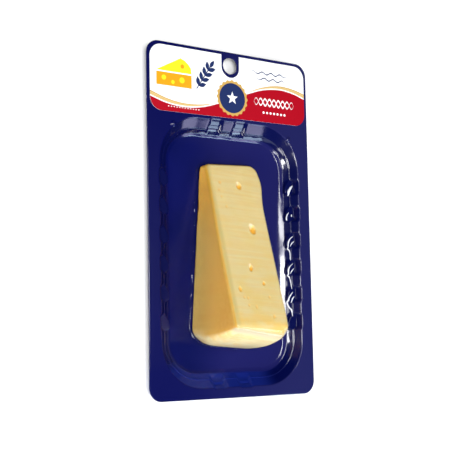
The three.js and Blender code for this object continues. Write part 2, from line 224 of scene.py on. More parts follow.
def join(pieces: Sequence[bpy.types.Object]) -> bpy.types.Object:
    """Joins pieces into the first of them.

    Args:
        pieces: The pieces.

    Returns:
        The first one, which is then all of them.
    """
    deselect_all()
    for piece in pieces:
        piece.select_set(True)
    bpy.context.view_layer.objects.active = pieces[0]
    bpy.ops.object.join()
    return pieces[0]


class RingModel:
    """A body modelled in edit mode from closed rings, each extruded from the one before it."""

    def __init__(self, name: str, first: Ring) -> None:
        """Starts the body from a circle that is shaped to its first ring.

        Args:
            name: The piece's name.
            first: Points of the first ring.
        """
        deselect_all()
        bpy.ops.mesh.primitive_circle_add(vertices=len(first), location=(0, 0, 0))
        self.piece = bpy.context.object
        self.piece.name = self.piece.data.name = name
        bpy.ops.object.mode_set(mode="EDIT")
        bpy.ops.mesh.select_mode(type="VERT")
        edit = bmesh.from_edit_mesh(self.piece.data)
        edit.verts.layers.int.new("place")
        edit.verts.layers.int.new("ring")
        self.rings = 0
        self._number_selected()
        self._shape_selected(first)

    def _number_selected(self) -> None:
        """Gives each point of a new circle its place along the ring."""
        edit = bmesh.from_edit_mesh(self.piece.data)
        edit.verts.index_update()
        place = edit.verts.layers.int["place"]
        chosen = sorted((v for v in edit.verts if v.select), key=lambda v: v.index)
        for number, vert in enumerate(chosen):
            vert[place] = number

    def _shape_selected(self, ring: Ring) -> int:
        """Moves the selected points onto a ring.

        Args:
            ring: Points of the ring.

        Returns:
            The ring's number.
        """
        edit = bmesh.from_edit_mesh(self.piece.data)
        place, number = (edit.verts.layers.int[name] for name in ("place", "ring"))
        for vert in edit.verts:
            if vert.select:
                vert.co = ring[vert[place]]
                vert[number] = self.rings
        self.rings += 1
        bmesh.update_edit_mesh(self.piece.data)
        return self.rings - 1

    def extrude(self, ring: Ring) -> int:
        """Extrudes the selected ring onto the next one and returns its number."""
        bpy.ops.mesh.extrude_edges_indiv()
        return self._shape_selected(ring)

    def add_loop(self, ring: Ring) -> int:
        """Adds a loop that isn't joined to the body yet.

        Args:
            ring: Points of the loop.

        Returns:
            The loop's number.
        """
        bpy.ops.mesh.select_all(action="DESELECT")
        bpy.ops.mesh.primitive_circle_add(vertices=len(ring), location=(0, 0, 0))
        self._number_selected()
        return self._shape_selected(ring)

    def select(self, *numbers: int) -> None:
        """Selects some rings alone.

        Args:
            *numbers: The numbers of the rings.
        """
        bpy.ops.mesh.select_all(action="DESELECT")
        edit = bmesh.from_edit_mesh(self.piece.data)
        number = edit.verts.layers.int["ring"]
        for vert in edit.verts:
            vert.select = vert[number] in numbers
        edit.select_flush(True)
        bmesh.update_edit_mesh(self.piece.data)

    def cap(self, number: int) -> None:
        """Closes a ring with one face."""
        self.select(number)
        bpy.ops.mesh.edge_face_add()

    def fill(self, *numbers: int) -> None:
        """Fills the flat area between an outline and the rings inside it."""
        self.select(*numbers)
        bpy.ops.mesh.fill(use_beauty=True)

    def done(self) -> bpy.types.Object:
        """Turns all faces outwards and leaves edit mode.

        Returns:
            The finished piece.
        """
        bpy.ops.mesh.select_all(action="SELECT")
        bpy.ops.mesh.normals_make_consistent(inside=False)
        bpy.ops.object.mode_set(mode="OBJECT")
        return self.piece


def body_through(name: str, rings: Sequence[Ring], closed: bool = True) -> bpy.types.Object:
    """Body through a row of rings.

    Args:
        name: The piece's name.
        rings: Its rings, each with as many points as the first.
        closed: Whether the last ring is capped, as the first one is.

    Returns:
        The new piece.
    """
    model = RingModel(name, rings[0])
    for ring in rings[1:]:
        last = model.extrude(ring)
    model.cap(0)
    if closed:
        model.cap(last)
    return model.done()


def flat_piece(name: str, outline: Sequence[Flat], low: float, high: float) -> bpy.types.Object:
    """Thin closed plate with a given outline.

    Args:
        name: The piece's name.
        outline: Its outline in millimetres.
        low: Height of its underside in millimetres.
        high: Height of its face in millimetres.

    Returns:
        The new piece.
    """
    return body_through(name, [at_height(outline, low), at_height(outline, high)])


# ------------------------------------------------------------------ shaders


class Shader:
    """A material's node tree, written one node at a time."""

    def __init__(self, name: str) -> None:
        """Starts an empty material.

        Args:
            name: The material's name.
        """
        self.material = bpy.data.materials.new(name)
        self.material.use_nodes = True
        self.tree = self.material.node_tree
        self.tree.nodes.clear()
        self.output = self.node("ShaderNodeOutputMaterial")

    def node(self, kind: str, **properties: object) -> bpy.types.Node:
        """Adds a node.

        Args:
            kind: The node's type.
            **properties: Values of the node's own properties.

        Returns:
            The new node.
        """
        node = self.tree.nodes.new(kind)
        for name, value in properties.items():
            setattr(node, name, value)
        return node

    def feed(self, socket: Socket, value: object) -> None:
        """Links an input to another node's socket, or gives it a constant.

        Args:
            socket: The input.
            value: The socket or the constant.
        """
        if isinstance(value, Socket):
            self.tree.links.new(value, socket)
        else:
            socket.default_value = value

    def put(self, node: bpy.types.Node, **values: object) -> bpy.types.Node:
        """Sets or links a node's inputs.

        Args:
            node: The node.
            **values: A socket or a constant for each input, named with underscores for spaces.

        Returns:
            The same node.
        """
        for name, value in values.items():
            self.feed(node.inputs[name.replace("_", " ")], value)
        return node

    def place(self) -> Socket:
        """Object coordinates."""
        return self.node("ShaderNodeTexCoord").outputs["Object"]

    def attribute(self, name: str) -> Socket:
        """Value that a piece's points carry under a name."""
        return self.node("ShaderNodeAttribute", attribute_name=name).outputs["Fac"]

    def facing(self) -> list[Socket]:
        """The three numbers of the surface's normal."""
        return self.parts(self.node("ShaderNodeNewGeometry").outputs["Normal"])

    def parts(self, vector: Socket) -> list[Socket]:
        """The three numbers of a vector."""
        return list(self.put(self.node("ShaderNodeSeparateXYZ"), Vector=vector).outputs)

    def turned_place(self, wedge: "Wedge") -> Socket:
        """Coordinates along and across the wedge, from its wheel's axis.

        Args:
            wedge: The wedge's form.

        Returns:
            The coordinates, in metres.
        """
        mapping = self.node("ShaderNodeMapping", vector_type="TEXTURE")
        axis = (wedge.axis[0] * MM, wedge.axis[1] * MM, wedge.floor * MM)
        self.put(mapping, Vector=self.place(), Location=axis, Rotation=(0, 0, wedge.turn))
        return mapping.outputs["Vector"]

    def stretched(self, place: Socket, *scale: float) -> Socket:
        """Coordinates multiplied along each axis."""
        mapping = self.put(self.node("ShaderNodeMapping"), Vector=place, Scale=scale)
        return mapping.outputs["Vector"]

    def noise(self, place: Socket, scale: float, detail: float = 2.0) -> Socket:
        """Cloudy pattern from 0 to 1, with its scale in blobs per metre."""
        node = self.node("ShaderNodeTexNoise")
        return self.put(node, Vector=place, Scale=scale, Detail=detail).outputs["Fac"]

    def math(self, kind: str, *values: object) -> Socket:
        """Result of a Math node.

        Args:
            kind: Its operation.
            *values: A socket or a constant for each of its inputs.

        Returns:
            The result.
        """
        node = self.node("ShaderNodeMath", operation=kind)
        for socket, value in zip(node.inputs, values):
            self.feed(socket, value)
        return node.outputs[0]

    def times(self, first: Socket, *others: object) -> Socket:
        """Product of two or more values.

        Args:
            first: The first value.
            *others: The values that it is multiplied by.

        Returns:
            The product.
        """
        for other in others:
            first = self.math("MULTIPLY", first, other)
        return first

    def less(self, mask: Socket, share: float) -> Socket:
        """Factor that falls from 1 by a share where a mask is 1."""
        return self.math("MULTIPLY_ADD", mask, -share, 1.0)

    def step(self, value: Socket, low: float, high: float) -> Socket:
        """Soft mask that rises from 0 at low to 1 at high."""
        node = self.node("ShaderNodeMapRange", interpolation_type="SMOOTHSTEP")
        return self.put(node, Value=value, From_Min=low, From_Max=high).outputs["Result"]

    def reach(self, value: Socket, span: Flat) -> Socket:
        """Soft mask over a span of places in millimetres, from 0 at its first to 1 at its last."""
        return self.step(value, span[0] * MM, span[1] * MM)

    def blend(self, mask: Socket | float, low: object, high: object) -> Socket:
        """Colour mixed from low to high.

        Args:
            mask: The share of high.
            low: The colour where the mask is 0.
            high: The colour where it is 1.

        Returns:
            The mixed colour.
        """
        node = self.node("ShaderNodeMix", data_type="RGBA")
        for socket, value in ((0, mask), (6, low), (7, high)):
            self.feed(node.inputs[socket], value)
        return node.outputs[2]

    def ripple(self, place: Socket, broad: float, fine: float, share: float = 0.15) -> Socket:
        """Height of the waviness that sheet, print and film share.

        Args:
            place: Coordinates.
            broad: Broad waves per metre.
            fine: Fine waves per metre.
            share: Share of the fine ones.

        Returns:
            The height, from 0 to 1.
        """
        node = self.node("ShaderNodeGroup", node_tree=film_ripple())
        self.put(node, Place=place, Broad=broad, Fine=fine, Fine_Share=share)
        return node.outputs["Height"]

    def bump(self, height: Socket, depth: float) -> Socket:
        """Normal of a relief of a given depth in millimetres."""
        node = self.node("ShaderNodeBump")
        return self.put(node, Height=height, Distance=depth * MM, Strength=1.0).outputs["Normal"]

    def surface(self, shader: Socket) -> bpy.types.Material:
        """Ends the tree with a shader and returns the material."""
        self.tree.links.new(shader, self.output.inputs["Surface"])
        return self.material

    def principled(self, **values: object) -> bpy.types.Material:
        """Ends the tree with a Principled shader and returns the material."""
        body = self.put(self.node("ShaderNodeBsdfPrincipled"), **values)
        return self.surface(body.outputs["BSDF"])


def film_ripple() -> bpy.types.NodeTree:
    """Shared effect: the slight waviness of sheet and film, as a height from 0 to 1.

    Returns:
        The node group, which is built once.
    """
    tree = bpy.data.node_groups.get("film_ripple")
    if tree:
        return tree
    tree = bpy.data.node_groups.new("film_ripple", "ShaderNodeTree")
    sockets = tree.interface
    sockets.new_socket("Place", in_out="INPUT", socket_type="NodeSocketVector")
    for name, value in (("Broad", 40.0), ("Fine", 260.0), ("Fine Share", 0.15)):
        socket = sockets.new_socket(name, in_out="INPUT", socket_type="NodeSocketFloat")
        socket.default_value = value
    sockets.new_socket("Height", in_out="OUTPUT", socket_type="NodeSocketFloat")
    start, end = tree.nodes.new("NodeGroupInput"), tree.nodes.new("NodeGroupOutput")
    blend = tree.nodes.new("ShaderNodeMix")
    tree.links.new(start.outputs["Fine Share"], blend.inputs[0])
    for name, socket in (("Broad", blend.inputs[2]), ("Fine", blend.inputs[3])):
        cloud = tree.nodes.new("ShaderNodeTexNoise")
        cloud.inputs["Detail"].default_value = 1.5
        tree.links.new(start.outputs["Place"], cloud.inputs["Vector"])
        tree.links.new(start.outputs[name], cloud.inputs["Scale"])
        tree.links.new(cloud.outputs["Fac"], socket)
    tree.links.new(blend.outputs[0], end.inputs["Height"])
    return tree


# ------------------------------------------------------------------ finishes


@dataclass(frozen=True)
class GlossySheet:
    """Finish of the navy sheet with the clear film sealed to it.

    Each pair of numbers is two places in millimetres: where a tint or gloss starts, and where it
    is full.
    """

    colour: Colour = display(3, 9, 68)
    worn: Colour = display(6, 12, 78)
    # Painted reflection: a paler tint towards the right of the well.
    painted_sheen: Colour = display(23, 24, 82)
    wall: Colour = display(2, 7, 62)
    # Painted light: a lighter blue on the wall at the foot of the well, in place of its
    # reflections.
    foot_wall_painted_light: Colour = display(14, 28, 104)
    flange: Colour = display(4, 8, 70)
    # Painted reflection: the flange's paler tint towards its right.
    flange_painted_sheen: Colour = display(27, 29, 80)
    roughness: float = 0.45
    coat_roughness: float = 0.11
    coat_index: float = 1.6
    floor_gloss: float = 0.14
    lug_dulling: float = 0.7
    flange_dulling: float = 0.4
    foot_dulling: float = 0.65
    relief: float = 0.10
    painted_sheen_span: Flat = (-34.0, 6.0)
    flange_painted_sheen_span: Flat = (-56.0, 56.0)
    wall_heights: Flat = (1.5, 2.3)
    flange_heights: Flat = (8.2, 8.75)
    foot_wall_along: Flat = (-90.0, -99.0)
    foot_wall_across: Flat = (36.0, 20.0)
    right_span: Flat = (30.0, 43.0)
    header_span: Flat = (50.0, 56.0)
    lugs_header_end: Flat = (38.0, 30.0)
    lugs_foot_end: Flat = (-76.0, -68.0)
    lugs_top: Flat = (8.0, 7.4)

    def material(self) -> bpy.types.Material:
        """Makes the material.

        Returns:
            The material.
        """
        shader = Shader("navy_sheet")
        place = shader.place()
        across, along, height = shader.parts(place)
        on_wall = shader.reach(height, self.wall_heights)
        on_flange = shader.reach(height, self.flange_heights)
        at_foot = shader.reach(along, self.foot_wall_along)
        at_foot = shader.times(at_foot, shader.reach(across, self.foot_wall_across), on_wall)

        cloud = shader.step(shader.noise(place, 22.0, 3.0), 0.35, 0.7)
        colour = shader.blend(cloud, self.colour, self.worn)
        # Painted reflection: the sheet is tinted paler towards the right of the well.
        colour = shader.blend(shader.reach(across, self.painted_sheen_span), colour, self.painted_sheen)
        colour = shader.blend(on_wall, colour, self.wall)
        # Painted light: the wall at the foot of the well is made a lighter blue, in place of its
        # reflections.
        colour = shader.blend(at_foot, colour, self.foot_wall_painted_light)
        # Painted reflection: the flange is tinted paler from its left to its right.
        flange = shader.reach(across, self.flange_painted_sheen_span)
        flange = shader.blend(flange, self.flange, self.flange_painted_sheen)

        to_right = shader.reach(across, self.right_span)
        to_header = shader.reach(along, self.header_span)
        glossy = shader.math("MAXIMUM", on_wall, shader.math("MAXIMUM", to_right, to_header))
        by_lugs = shader.times(
            shader.reach(along, self.lugs_header_end),
            shader.reach(along, self.lugs_foot_end),
            shader.reach(height, self.lugs_top),
            on_wall,
        )
        gloss = shader.times(
            shader.math("MULTIPLY_ADD", glossy, 1.0 - self.floor_gloss, self.floor_gloss),
            shader.less(by_lugs, self.lug_dulling),
            shader.less(on_flange, self.flange_dulling),
            shader.less(at_foot, self.foot_dulling),
        )
        return shader.principled(
            Base_Color=shader.blend(on_flange, colour, flange),
            Roughness=self.roughness,
            Specular_IOR_Level=0.04,
            Coat_Weight=gloss,
            Coat_Roughness=self.coat_roughness,
            Coat_IOR=self.coat_index,
            Normal=shader.bump(shader.ripple(place, 38.0, 320.0), self.relief),
            Coat_Normal=shader.bump(shader.noise(place, 38.0, 1.5), self.relief),
        )


@dataclass(frozen=True)
class PrintedInk:
    """Finish of one ink of the header's print, under its clear film."""

    name: str
    colour: Colour
    roughness: float = 0.42
    unevenness: float = 0.06
    relief: float = 0.06

    def material(self) -> bpy.types.Material:
        """Makes the material.

        Returns:
            The material.
        """
        shader = Shader(self.name)
        place = shader.place()
        darker = tuple(c * (1.0 - self.unevenness) for c in self.colour[:3]) + (1.0,)
        return shader.principled(
            Base_Color=shader.blend(shader.noise(place, 70.0, 3.0), self.colour, darker),
            Roughness=self.roughness,
            Specular_IOR_Level=0.1,
            Coat_Weight=0.4,
            Coat_Roughness=0.06,
            Normal=shader.bump(shader.ripple(place, 30.0, 250.0), self.relief),
            Coat_Normal=shader.bump(shader.noise(place, 30.0, 1.5), self.relief),
        )


@dataclass(frozen=True)
class CheesePaste:
    """Finish of the cut cheese: pale on its upper face and deeper on its sides.

    Painted shade deepens its eyes, and partly darkens its ridge and its rind end; painted light
    partly pales its tip, and painted highlights pale the face above its deep eyes.

    Each pair of numbers says where a tint starts and where it is full. The pairs are millimetres:
    across the wedge, back from its wheel's axis, up from its base or down from its face. A tilt is
    the share of the surface's normal that points up, or out of the rind end.
    """

    face: Colour = display(213, 199, 152)
    face_deep: Colour = display(214, 195, 135)
    face_end: Colour = display(220, 188, 108)
    # Partly the paste's own tint, partly painted shade against the lamps' highlight on the rounded
    # ridge.
    ridge_tint_and_shade: Colour = display(191, 177, 122)
    # Paler towards the tip: partly the paste's own whitish swirl, partly painted light against the
    # shade near the tip.
    tip: Colour = display(227, 209, 156)
    side_foot: Colour = display(240, 209, 122)
    side: Colour = display(220, 176, 94)
    side_high: Colour = display(200, 150, 62)
    side_tip: Colour = display(246, 186, 74)
    side_deep: Colour = display(214, 158, 72)
    # Partly the paste's own tint, partly painted shade against the lamps' highlight on the ridge.
    side_edge_tint_and_shade: Colour = display(198, 158, 52)
    end: Colour = display(248, 234, 190)
    end_deep: Colour = display(250, 224, 162)
    # Painted shade: the right of the rind end is darker, against the stronger light on that side.
    end_right_painted_shade: Colour = display(224, 210, 166)
    # The band at the top of the rind end: its own pale tone, darkened by painted shade against the
    # strong light there.
    rind: Colour = display(196, 188, 164)
    # Painted shade: a deeper orange in the eyes and small pits, where shade falls in the hollows.
    pit: Colour = display(236, 178, 66)
    # Painted highlight: a pale mark on the face above each deep eye, where the film catches the
    # light.
    painted_glint: Colour = display(255, 250, 226)
    face_end_back: Flat = (-112.0, -126.0)
    face_tip_back: Flat = (-110.0, -20.0)
    ridge_inset: Flat = (5.5, 2.0)
    side_heights: Flat = (0.0, 22.0)
    side_high_heights: Flat = (16.0, 44.0)
    side_tip_back: Flat = (-75.0, -35.0)
    side_edge_drop: Flat = (5.0, 1.0)
    side_end_back: Flat = (-124.0, -136.0)
    side_end_heights: Flat = (20.0, 8.0)
    end_right_across: Flat = (-6.0, 10.0)
    rind_drop: Flat = (12.0, 4.0)
    face_tilt: Flat = (0.45, 0.85)
    end_tilt: Flat = (0.3, 0.68)

    def _face_colour(self, shader: Shader, place: Socket, veins: Socket, width: float) -> Socket:
        """Colour of the upper cut face.

        Args:
            shader: The material's tree.
            place: Coordinates along the wedge.
            veins: The cloudy pattern of fine veins.
            width: The wedge's width.

        Returns:
            The colour.
        """
        across, back, _ = shader.parts(place)
        mottle = shader.step(shader.noise(place, 70.0, 4.0), 0.35, 0.7)
        colour = shader.blend(mottle, self.face, self.face_deep)
        by_end = shader.reach(back, self.face_end_back)
        by_end = shader.times(shader.step(veins, 0.35, 0.65), by_end)
        colour = shader.blend(by_end, colour, self.face_end)
        # Paler towards the tip: partly the paste's own whitish swirl, partly painted light against
        # the shade near the tip.
        swirl = shader.step(shader.noise(place, 110.0, 5.0), 0.4, 0.75)
        swirl = shader.math("MULTIPLY_ADD", swirl, 0.4, 0.6)
        by_tip = shader.times(swirl, shader.reach(back, self.face_tip_back))
        colour = shader.blend(by_tip, colour, self.tip)
        # A darker line along the ridge: partly the paste's own tint, partly painted shade against
        # the lamps' highlight on its rounding.
        start, full = (inset - width / 2 for inset in self.ridge_inset)
        return shader.blend(shader.reach(across, (start, full)), colour, self.ridge_tint_and_shade)

    def _side_colour(self, shader: Shader, place: Socket, below: Socket) -> Socket:
        """Colour of the two upright sides.

        Args:
            shader: The material's tree.
            place: Coordinates along the wedge.
            below: Distance down from the upper face.

        Returns:
            The colour.
        """
        _, back, height = shader.parts(place)
        low = shader.reach(height, self.side_heights)
        colour = shader.blend(low, self.side_foot, self.side)
        high = shader.reach(height, self.side_high_heights)
        colour = shader.blend(high, colour, self.side_high)
        by_tip = shader.times(shader.reach(back, self.side_tip_back), 0.8)
        colour = shader.blend(by_tip, colour, self.side_tip)
        streaks = shader.noise(shader.stretched(place, 1.0, 1.0, 0.1), 160.0, 3.0)
        patches = shader.step(shader.noise(place, 26.0, 2.0), 0.35, 0.65)
        deep = shader.times(shader.step(streaks, 0.35, 0.7), patches, 0.6)
        colour = shader.blend(deep, colour, self.side_deep)
        # A darker edge at the top of the side and towards the rind end: partly the paste's own
        # tint, partly painted shade against the lamps' highlight on the ridge.
        by_face = shader.times(shader.reach(below, self.side_edge_drop), 0.8)
        colour = shader.blend(by_face, colour, self.side_edge_tint_and_shade)
        by_end = shader.reach(back, self.side_end_back)
        colour = shader.blend(shader.times(by_end, 0.55), colour, self.side_edge_tint_and_shade)
        by_foot = shader.times(shader.reach(height, self.side_end_heights), by_end, 0.8)
        return shader.blend(by_foot, colour, self.end)

    def _end_colour(self, shader: Shader, place: Socket, veins: Socket, below: Socket) -> Socket:
        """Colour of the rind end.

        Args:
            shader: The material's tree.
            place: Coordinates along the wedge.
            veins: The cloudy pattern of fine veins.
            below: Distance down from the upper face.

        Returns:
            The colour.
        """
        across = shader.parts(place)[0]
        colour = shader.blend(shader.step(veins, 0.45, 0.62), self.end, self.end_deep)
        # Painted shade: the right of the rind end is darker, against the stronger light on that
        # side.
        to_right = shader.reach(across, self.end_right_across)
        colour = shader.blend(to_right, colour, self.end_right_painted_shade)
        # The band at the top of the rind end: its own pale tone, darkened by painted shade against
        # the strong light there.
        return shader.blend(shader.reach(below, self.rind_drop), colour, self.rind)

    def material(self, wedge: "Wedge") -> bpy.types.Material:
        """Makes the material.

        Args:
            wedge: The form of the wedge that it is for.

        Returns:
            The material.
        """
        shader = Shader("cheese_paste")
        place = shader.turned_place(wedge)
        _, back, height = shader.parts(place)
        face_height = shader.math("MULTIPLY", back, -math.tan(wedge.angle))
        below = shader.math("SUBTRACT", face_height, height)
        veins = shader.noise(shader.stretched(place, 0.7, 1.0, 1.0), 150.0, 4.0)
        side = self._side_colour(shader, place, below)
        face = self._face_colour(shader, place, veins, wedge.width)
        end = self._end_colour(shader, place, veins, below)

        facing = shader.facing()
        colour = shader.blend(shader.step(facing[2], *self.face_tilt), side, face)
        on_end = shader.step(shader.times(facing[1], -1.0), *self.end_tilt)
        colour = shader.blend(on_end, colour, end)
        # Painted shade: a deeper orange in the eyes and small pits, where shade falls in the
        # hollows.
        colour = shader.blend(shader.attribute("pit"), colour, self.pit)
        # Painted highlight: a pale mark on the face above each deep eye, where the film catches the
        # light.
        colour = shader.blend(shader.attribute("painted_glint"), colour, self.painted_glint)
        wires = shader.noise(shader.stretched(place, 0.05, 1.0, 1.0), 520.0, 3.0)
        grooves = shader.times(shader.step(wires, 0.62, 0.38), 0.22)
        colour = shader.blend(grooves, colour, self.side)
        grain = shader.times(shader.noise(place, 900.0, 3.0), 0.35)
        return shader.principled(
            Base_Color=colour,
            Roughness=0.5,
            Subsurface_Weight=0.25,
            Subsurface_Radius=(1.0, 0.55, 0.2),
            Subsurface_Scale=4.0 * MM,
            Normal=shader.bump(shader.math("ADD", wires, grain), 0.09),
        )


@dataclass(frozen=True)
class ClearFilm:
    """Finish of the clear film: it shows by its gloss alone."""

    tint: Colour = (1.0, 0.99, 0.96, 1.0)
    index: float = 1.45
    roughness: float = 0.06
    relief: float = 0.12

    def material(self) -> bpy.types.Material:
        """Makes the material. The attribute "cling" fades the gloss where the film is sealed.

        Returns:
            The material.
        """
        shader = Shader("clear_film")
        normal = shader.bump(shader.ripple(shader.place(), 60.0, 420.0, 0.2), self.relief)
        clear = shader.put(shader.node("ShaderNodeBsdfTransparent"), Color=self.tint)
        gloss = shader.node("ShaderNodeBsdfGlossy")
        shader.put(gloss, Color=(1, 1, 1, 1), Roughness=self.roughness, Normal=normal)
        fresnel = shader.put(shader.node("ShaderNodeFresnel"), IOR=self.index, Normal=normal)
        inner = shader.node("ShaderNodeNewGeometry").outputs["Backfacing"]
        sealed = shader.math("MAXIMUM", shader.attribute("cling"), inner)
        share = shader.times(fresnel.outputs["Fac"], shader.math("SUBTRACT", 1.0, sealed))
        both = shader.node("ShaderNodeMixShader")
        for socket, value in zip(both.inputs, (share, clear.outputs[0], gloss.outputs[0])):
            shader.feed(socket, value)
        return shader.surface(both.outputs[0])


@dataclass(frozen=True)
class CreaseHighlightPaint:
    """Pale finish of the crease tubes: a painted highlight of the film drawn over a lug."""

    colour: Colour = display(206, 212, 230)
    pale: Colour = (1.0, 1.0, 1.0, 1.0)
    roughness: float = 0.25

    def material(self) -> bpy.types.Material:
        """Makes the material.

        Returns:
            The material.
        """
        shader = Shader("crease_highlight_paint")
        cloud = shader.noise(shader.place(), 600.0, 2.0)
        colour = shader.blend(cloud, self.colour, self.pale)
        return shader.principled(Base_Color=colour, Roughness=self.roughness)


# ------------------------------------------------------------------ tray


class Side(Enum):
    """Sides of the well, counter-clockwise. Each faces out by as many quarter turns from +X."""

    RIGHT = 0
    HEADER = 1
    LEFT = 2
    FOOT = 3


@dataclass(frozen=True)
class WallStep:
    """A point of the wall's section: inset from the rim, depth, and the shares of the lugs."""

    inset: float
    depth: float
    pocket: float
    lug: float


@dataclass(frozen=True)
class RimPoint:
    """A point of the well's rim with its outward direction and the pull of the lugs there."""

    x: float
    y: float
    out_x: float
    out_y: float
    pocket: float = 0.0
    lug: float = 0.0
    ramp: float = 0.0


@dataclass(frozen=True)
class RoundedBox:
    """Rectangle with round corners, in millimetres."""

    right: float
    left: float
    top: float
    bottom: float
    corner: float

    def corner_points(self, side: Side, count: int) -> list[RimPoint]:
        """Points round the corner that follows a side, both ends included.

        Args:
            side: The side before the corner.
            count: How many points it has.

        Returns:
            The points, counter-clockwise.
        """
        at_right, at_top = side in (Side.RIGHT, Side.FOOT), side in (Side.RIGHT, Side.HEADER)
        x = self.right - self.corner if at_right else self.left + self.corner
        y = self.top - self.corner if at_top else self.bottom + self.corner
        points = []
        for i in range(count):
            angle = (side.value + i / (count - 1)) * math.pi / 2
            out_x, out_y = math.cos(angle), math.sin(angle)
            points.append(RimPoint(x + self.corner * out_x, y + self.corner * out_y, out_x, out_y))
        return points

    def outline(self, corner_count: int) -> list[Flat]:
        """Outline with a point at each end of each straight side."""
        return [(p.x, p.y) for side in Side for p in self.corner_points(side, corner_count)]

    def inset(self, by: float) -> "RoundedBox":
        """The same box drawn in by a distance."""
        sides = (self.right - by, self.left + by, self.top - by, self.bottom + by)
        return RoundedBox(*sides, self.corner - by)


@dataclass
class Tray:
    """The navy sheet: flange, hang hole, domes, and the well with its ledge and lugs."""

    sheet: float = 0.8
    depth: float = 8.0
    pack: RoundedBox = RoundedBox(65.0, -65.0, 116.5, -116.5, 9.0)
    well: RoundedBox = RoundedBox(55.5, -55.5, 68.2, -109.3, 30.0)
    edge_band: float = 0.7
    edge_round: float = 0.22
    edge_angle: float = 60.0
    corner_count: int = 24
    outer_share: float = 0.93
    hole_y: float = 107.0
    hole_radius: float = 5.6
    hole_count: int = 72
    sharp: float = 38.0

    # The well's wall, from its rim down to the floor. The fillet's widths are pairs of a place
    # along the well and a share of the full width.
    wider_at_header: float = 2.1
    wider_at_foot: float = 1.0
    header_squeeze: float = 0.24
    ledge_span: Flat = (0.3, 3.6)
    lower_from: float = 4.45
    fillet_from: float = 8.25
    left_fillet: float = 0.3
    fillet_change: Flat = (-30.0, 10.0)
    fillet_widths: tuple[Flat, ...] = (
        (-95.0, 0.42), (-76.0, 0.5), (-60.0, 0.8), (-45.0, 0.92), (-28.0, 1.0), (-17.0, 1.15),
        (-2.0, 0.95), (14.0, 0.75), (23.0, 0.55), (30.0, 0.4), (50.0, 0.38), (62.0, 0.26),
    )
    unevenness: float = 0.24
    uneven_depths: Flat = (3.6, 5.0)
    even_over_floor: float = 0.5
    even_in_corner: float = 0.8
    wave_scales: Flat = (0.16, 0.45)
    floor_shares: tuple[float, ...] = (0.9, 0.75, 0.5, 0.25)
    station: float = 0.85
    steps_between: int = 4

    # The stacking lugs with their pockets: fins down the sides, ramps at the two ends. A ramp's
    # pairs are a depth and an inset from the rim.
    side_lugs: tuple[float, ...] = tuple(27.5 - 18.8 * k for k in range(6))
    header_lugs: tuple[float, ...] = (-11.5, 8.0)
    foot_lugs: tuple[float, ...] = (-12.0, 8.6)
    lug_half: float = 4.7
    lug_blend: float = 2.2
    lug_reach: float = 3.4
    lug_peak: float = -3.4
    lug_drop: float = 2.2
    pocket_depth: float = 1.3
    ramp: tuple[Flat, ...] = ((3.3, 2.9), (3.65, 3.3), (5.6, 5.7), (6.95, 9.4), (7.3, 10.2))
    ramp_start: Flat = (3.4, 3.7)
    ramp_end: Flat = (7.1, 6.6)

    domes: tuple[Flat, ...] = ((-45.4, 62.3), (48.2, 60.6))
    dome_radius: float = 1.5
    dome_rise: float = 0.8
    dome_flare: float = 0.5
    dome_flare_height: float = 0.45
    dome_sink: float = 0.05

    wall: tuple[WallStep, ...] = (
        WallStep(-2.4, 0.0, 0.6, 0.0),
        WallStep(-1.0, 0.0, 0.6, 0.0),
        WallStep(-0.3, 0.07, 0.6, 0.0),
        WallStep(0.3, 0.5, 0.7, 0.0),
        WallStep(1.9, 2.1, 1.1, 0.0),
        WallStep(3.4, 3.65, 1.7, 0.0),
        WallStep(3.75, 3.98, 1.8, 0.0),
        WallStep(4.0, 4.12, 1.7, 0.0),
        WallStep(4.45, 4.2, 0.0, 0.9),
        WallStep(4.75, 4.38, 0.0, 1.0),
        WallStep(5.5, 5.1, 0.0, 0.88),
        WallStep(6.6, 6.0, 0.0, 0.5),
        WallStep(7.5, 6.65, 0.0, 0.14),
        WallStep(7.85, 6.85, 0.0, 0.04),
        WallStep(8.25, 6.95, 0.0, 0.0),
        WallStep(10.2, 7.32, 0.0, 0.0),
        WallStep(12.2, 7.66, 0.0, 0.0),
        WallStep(14.2, 7.9, 0.0, 0.0),
        WallStep(16.2, 8.0, 0.0, 0.0),
    )

    @property
    def face(self) -> float:
        """Height of the flange's face."""
        return self.sheet + self.depth

    def _with_lugs(self, side: Side, point: RimPoint) -> RimPoint:
        """Adds the pull of the nearest lug and pocket to a point of a straight side.

        Args:
            side: The side that the point is on.
            point: The point.

        Returns:
            The point with its lugs.
        """
        at_end = side in (Side.HEADER, Side.FOOT)
        lugs = {Side.HEADER: self.header_lugs, Side.FOOT: self.foot_lugs}.get(side, self.side_lugs)
        place = point.x if at_end else point.y
        away = min((place - middle for middle in lugs), key=abs)
        half, blend = self.lug_half, self.lug_blend / 2
        pocket = 1.0 - smooth_step(half - blend, half + blend, abs(away))
        if at_end:
            return replace(point, pocket=pocket, ramp=pocket)
        past = away - self.lug_peak
        run, power = (half - self.lug_peak, 1.0) if past > 0.0 else (self.lug_drop, 0.5)
        return replace(point, pocket=pocket, lug=(1.0 - min((past / run) ** 2, 1.0)) ** power)

    def rim(self) -> list[RimPoint]:
        """Lays evenly spaced points round the well's rim.

        Returns:
            The points, counter-clockwise.
        """
        corner_count = round(self.well.corner * math.pi / 2 / self.station) + 1
        corners = {side: self.well.corner_points(side, corner_count) for side in Side}
        points = []
        for side in Side:
            start = corners[Side((side.value - 1) % 4)][-1]
            end = corners[side][0]
            count = round(math.dist((start.x, start.y), (end.x, end.y)) / self.station)
            for i in range(1, count):
                x, y = mix(start.x, end.x, i / count), mix(start.y, end.y, i / count)
                bare = RimPoint(x, y, end.out_x, end.out_y)
                points.append(self._with_lugs(side, bare))
            points += corners[side]
        return points

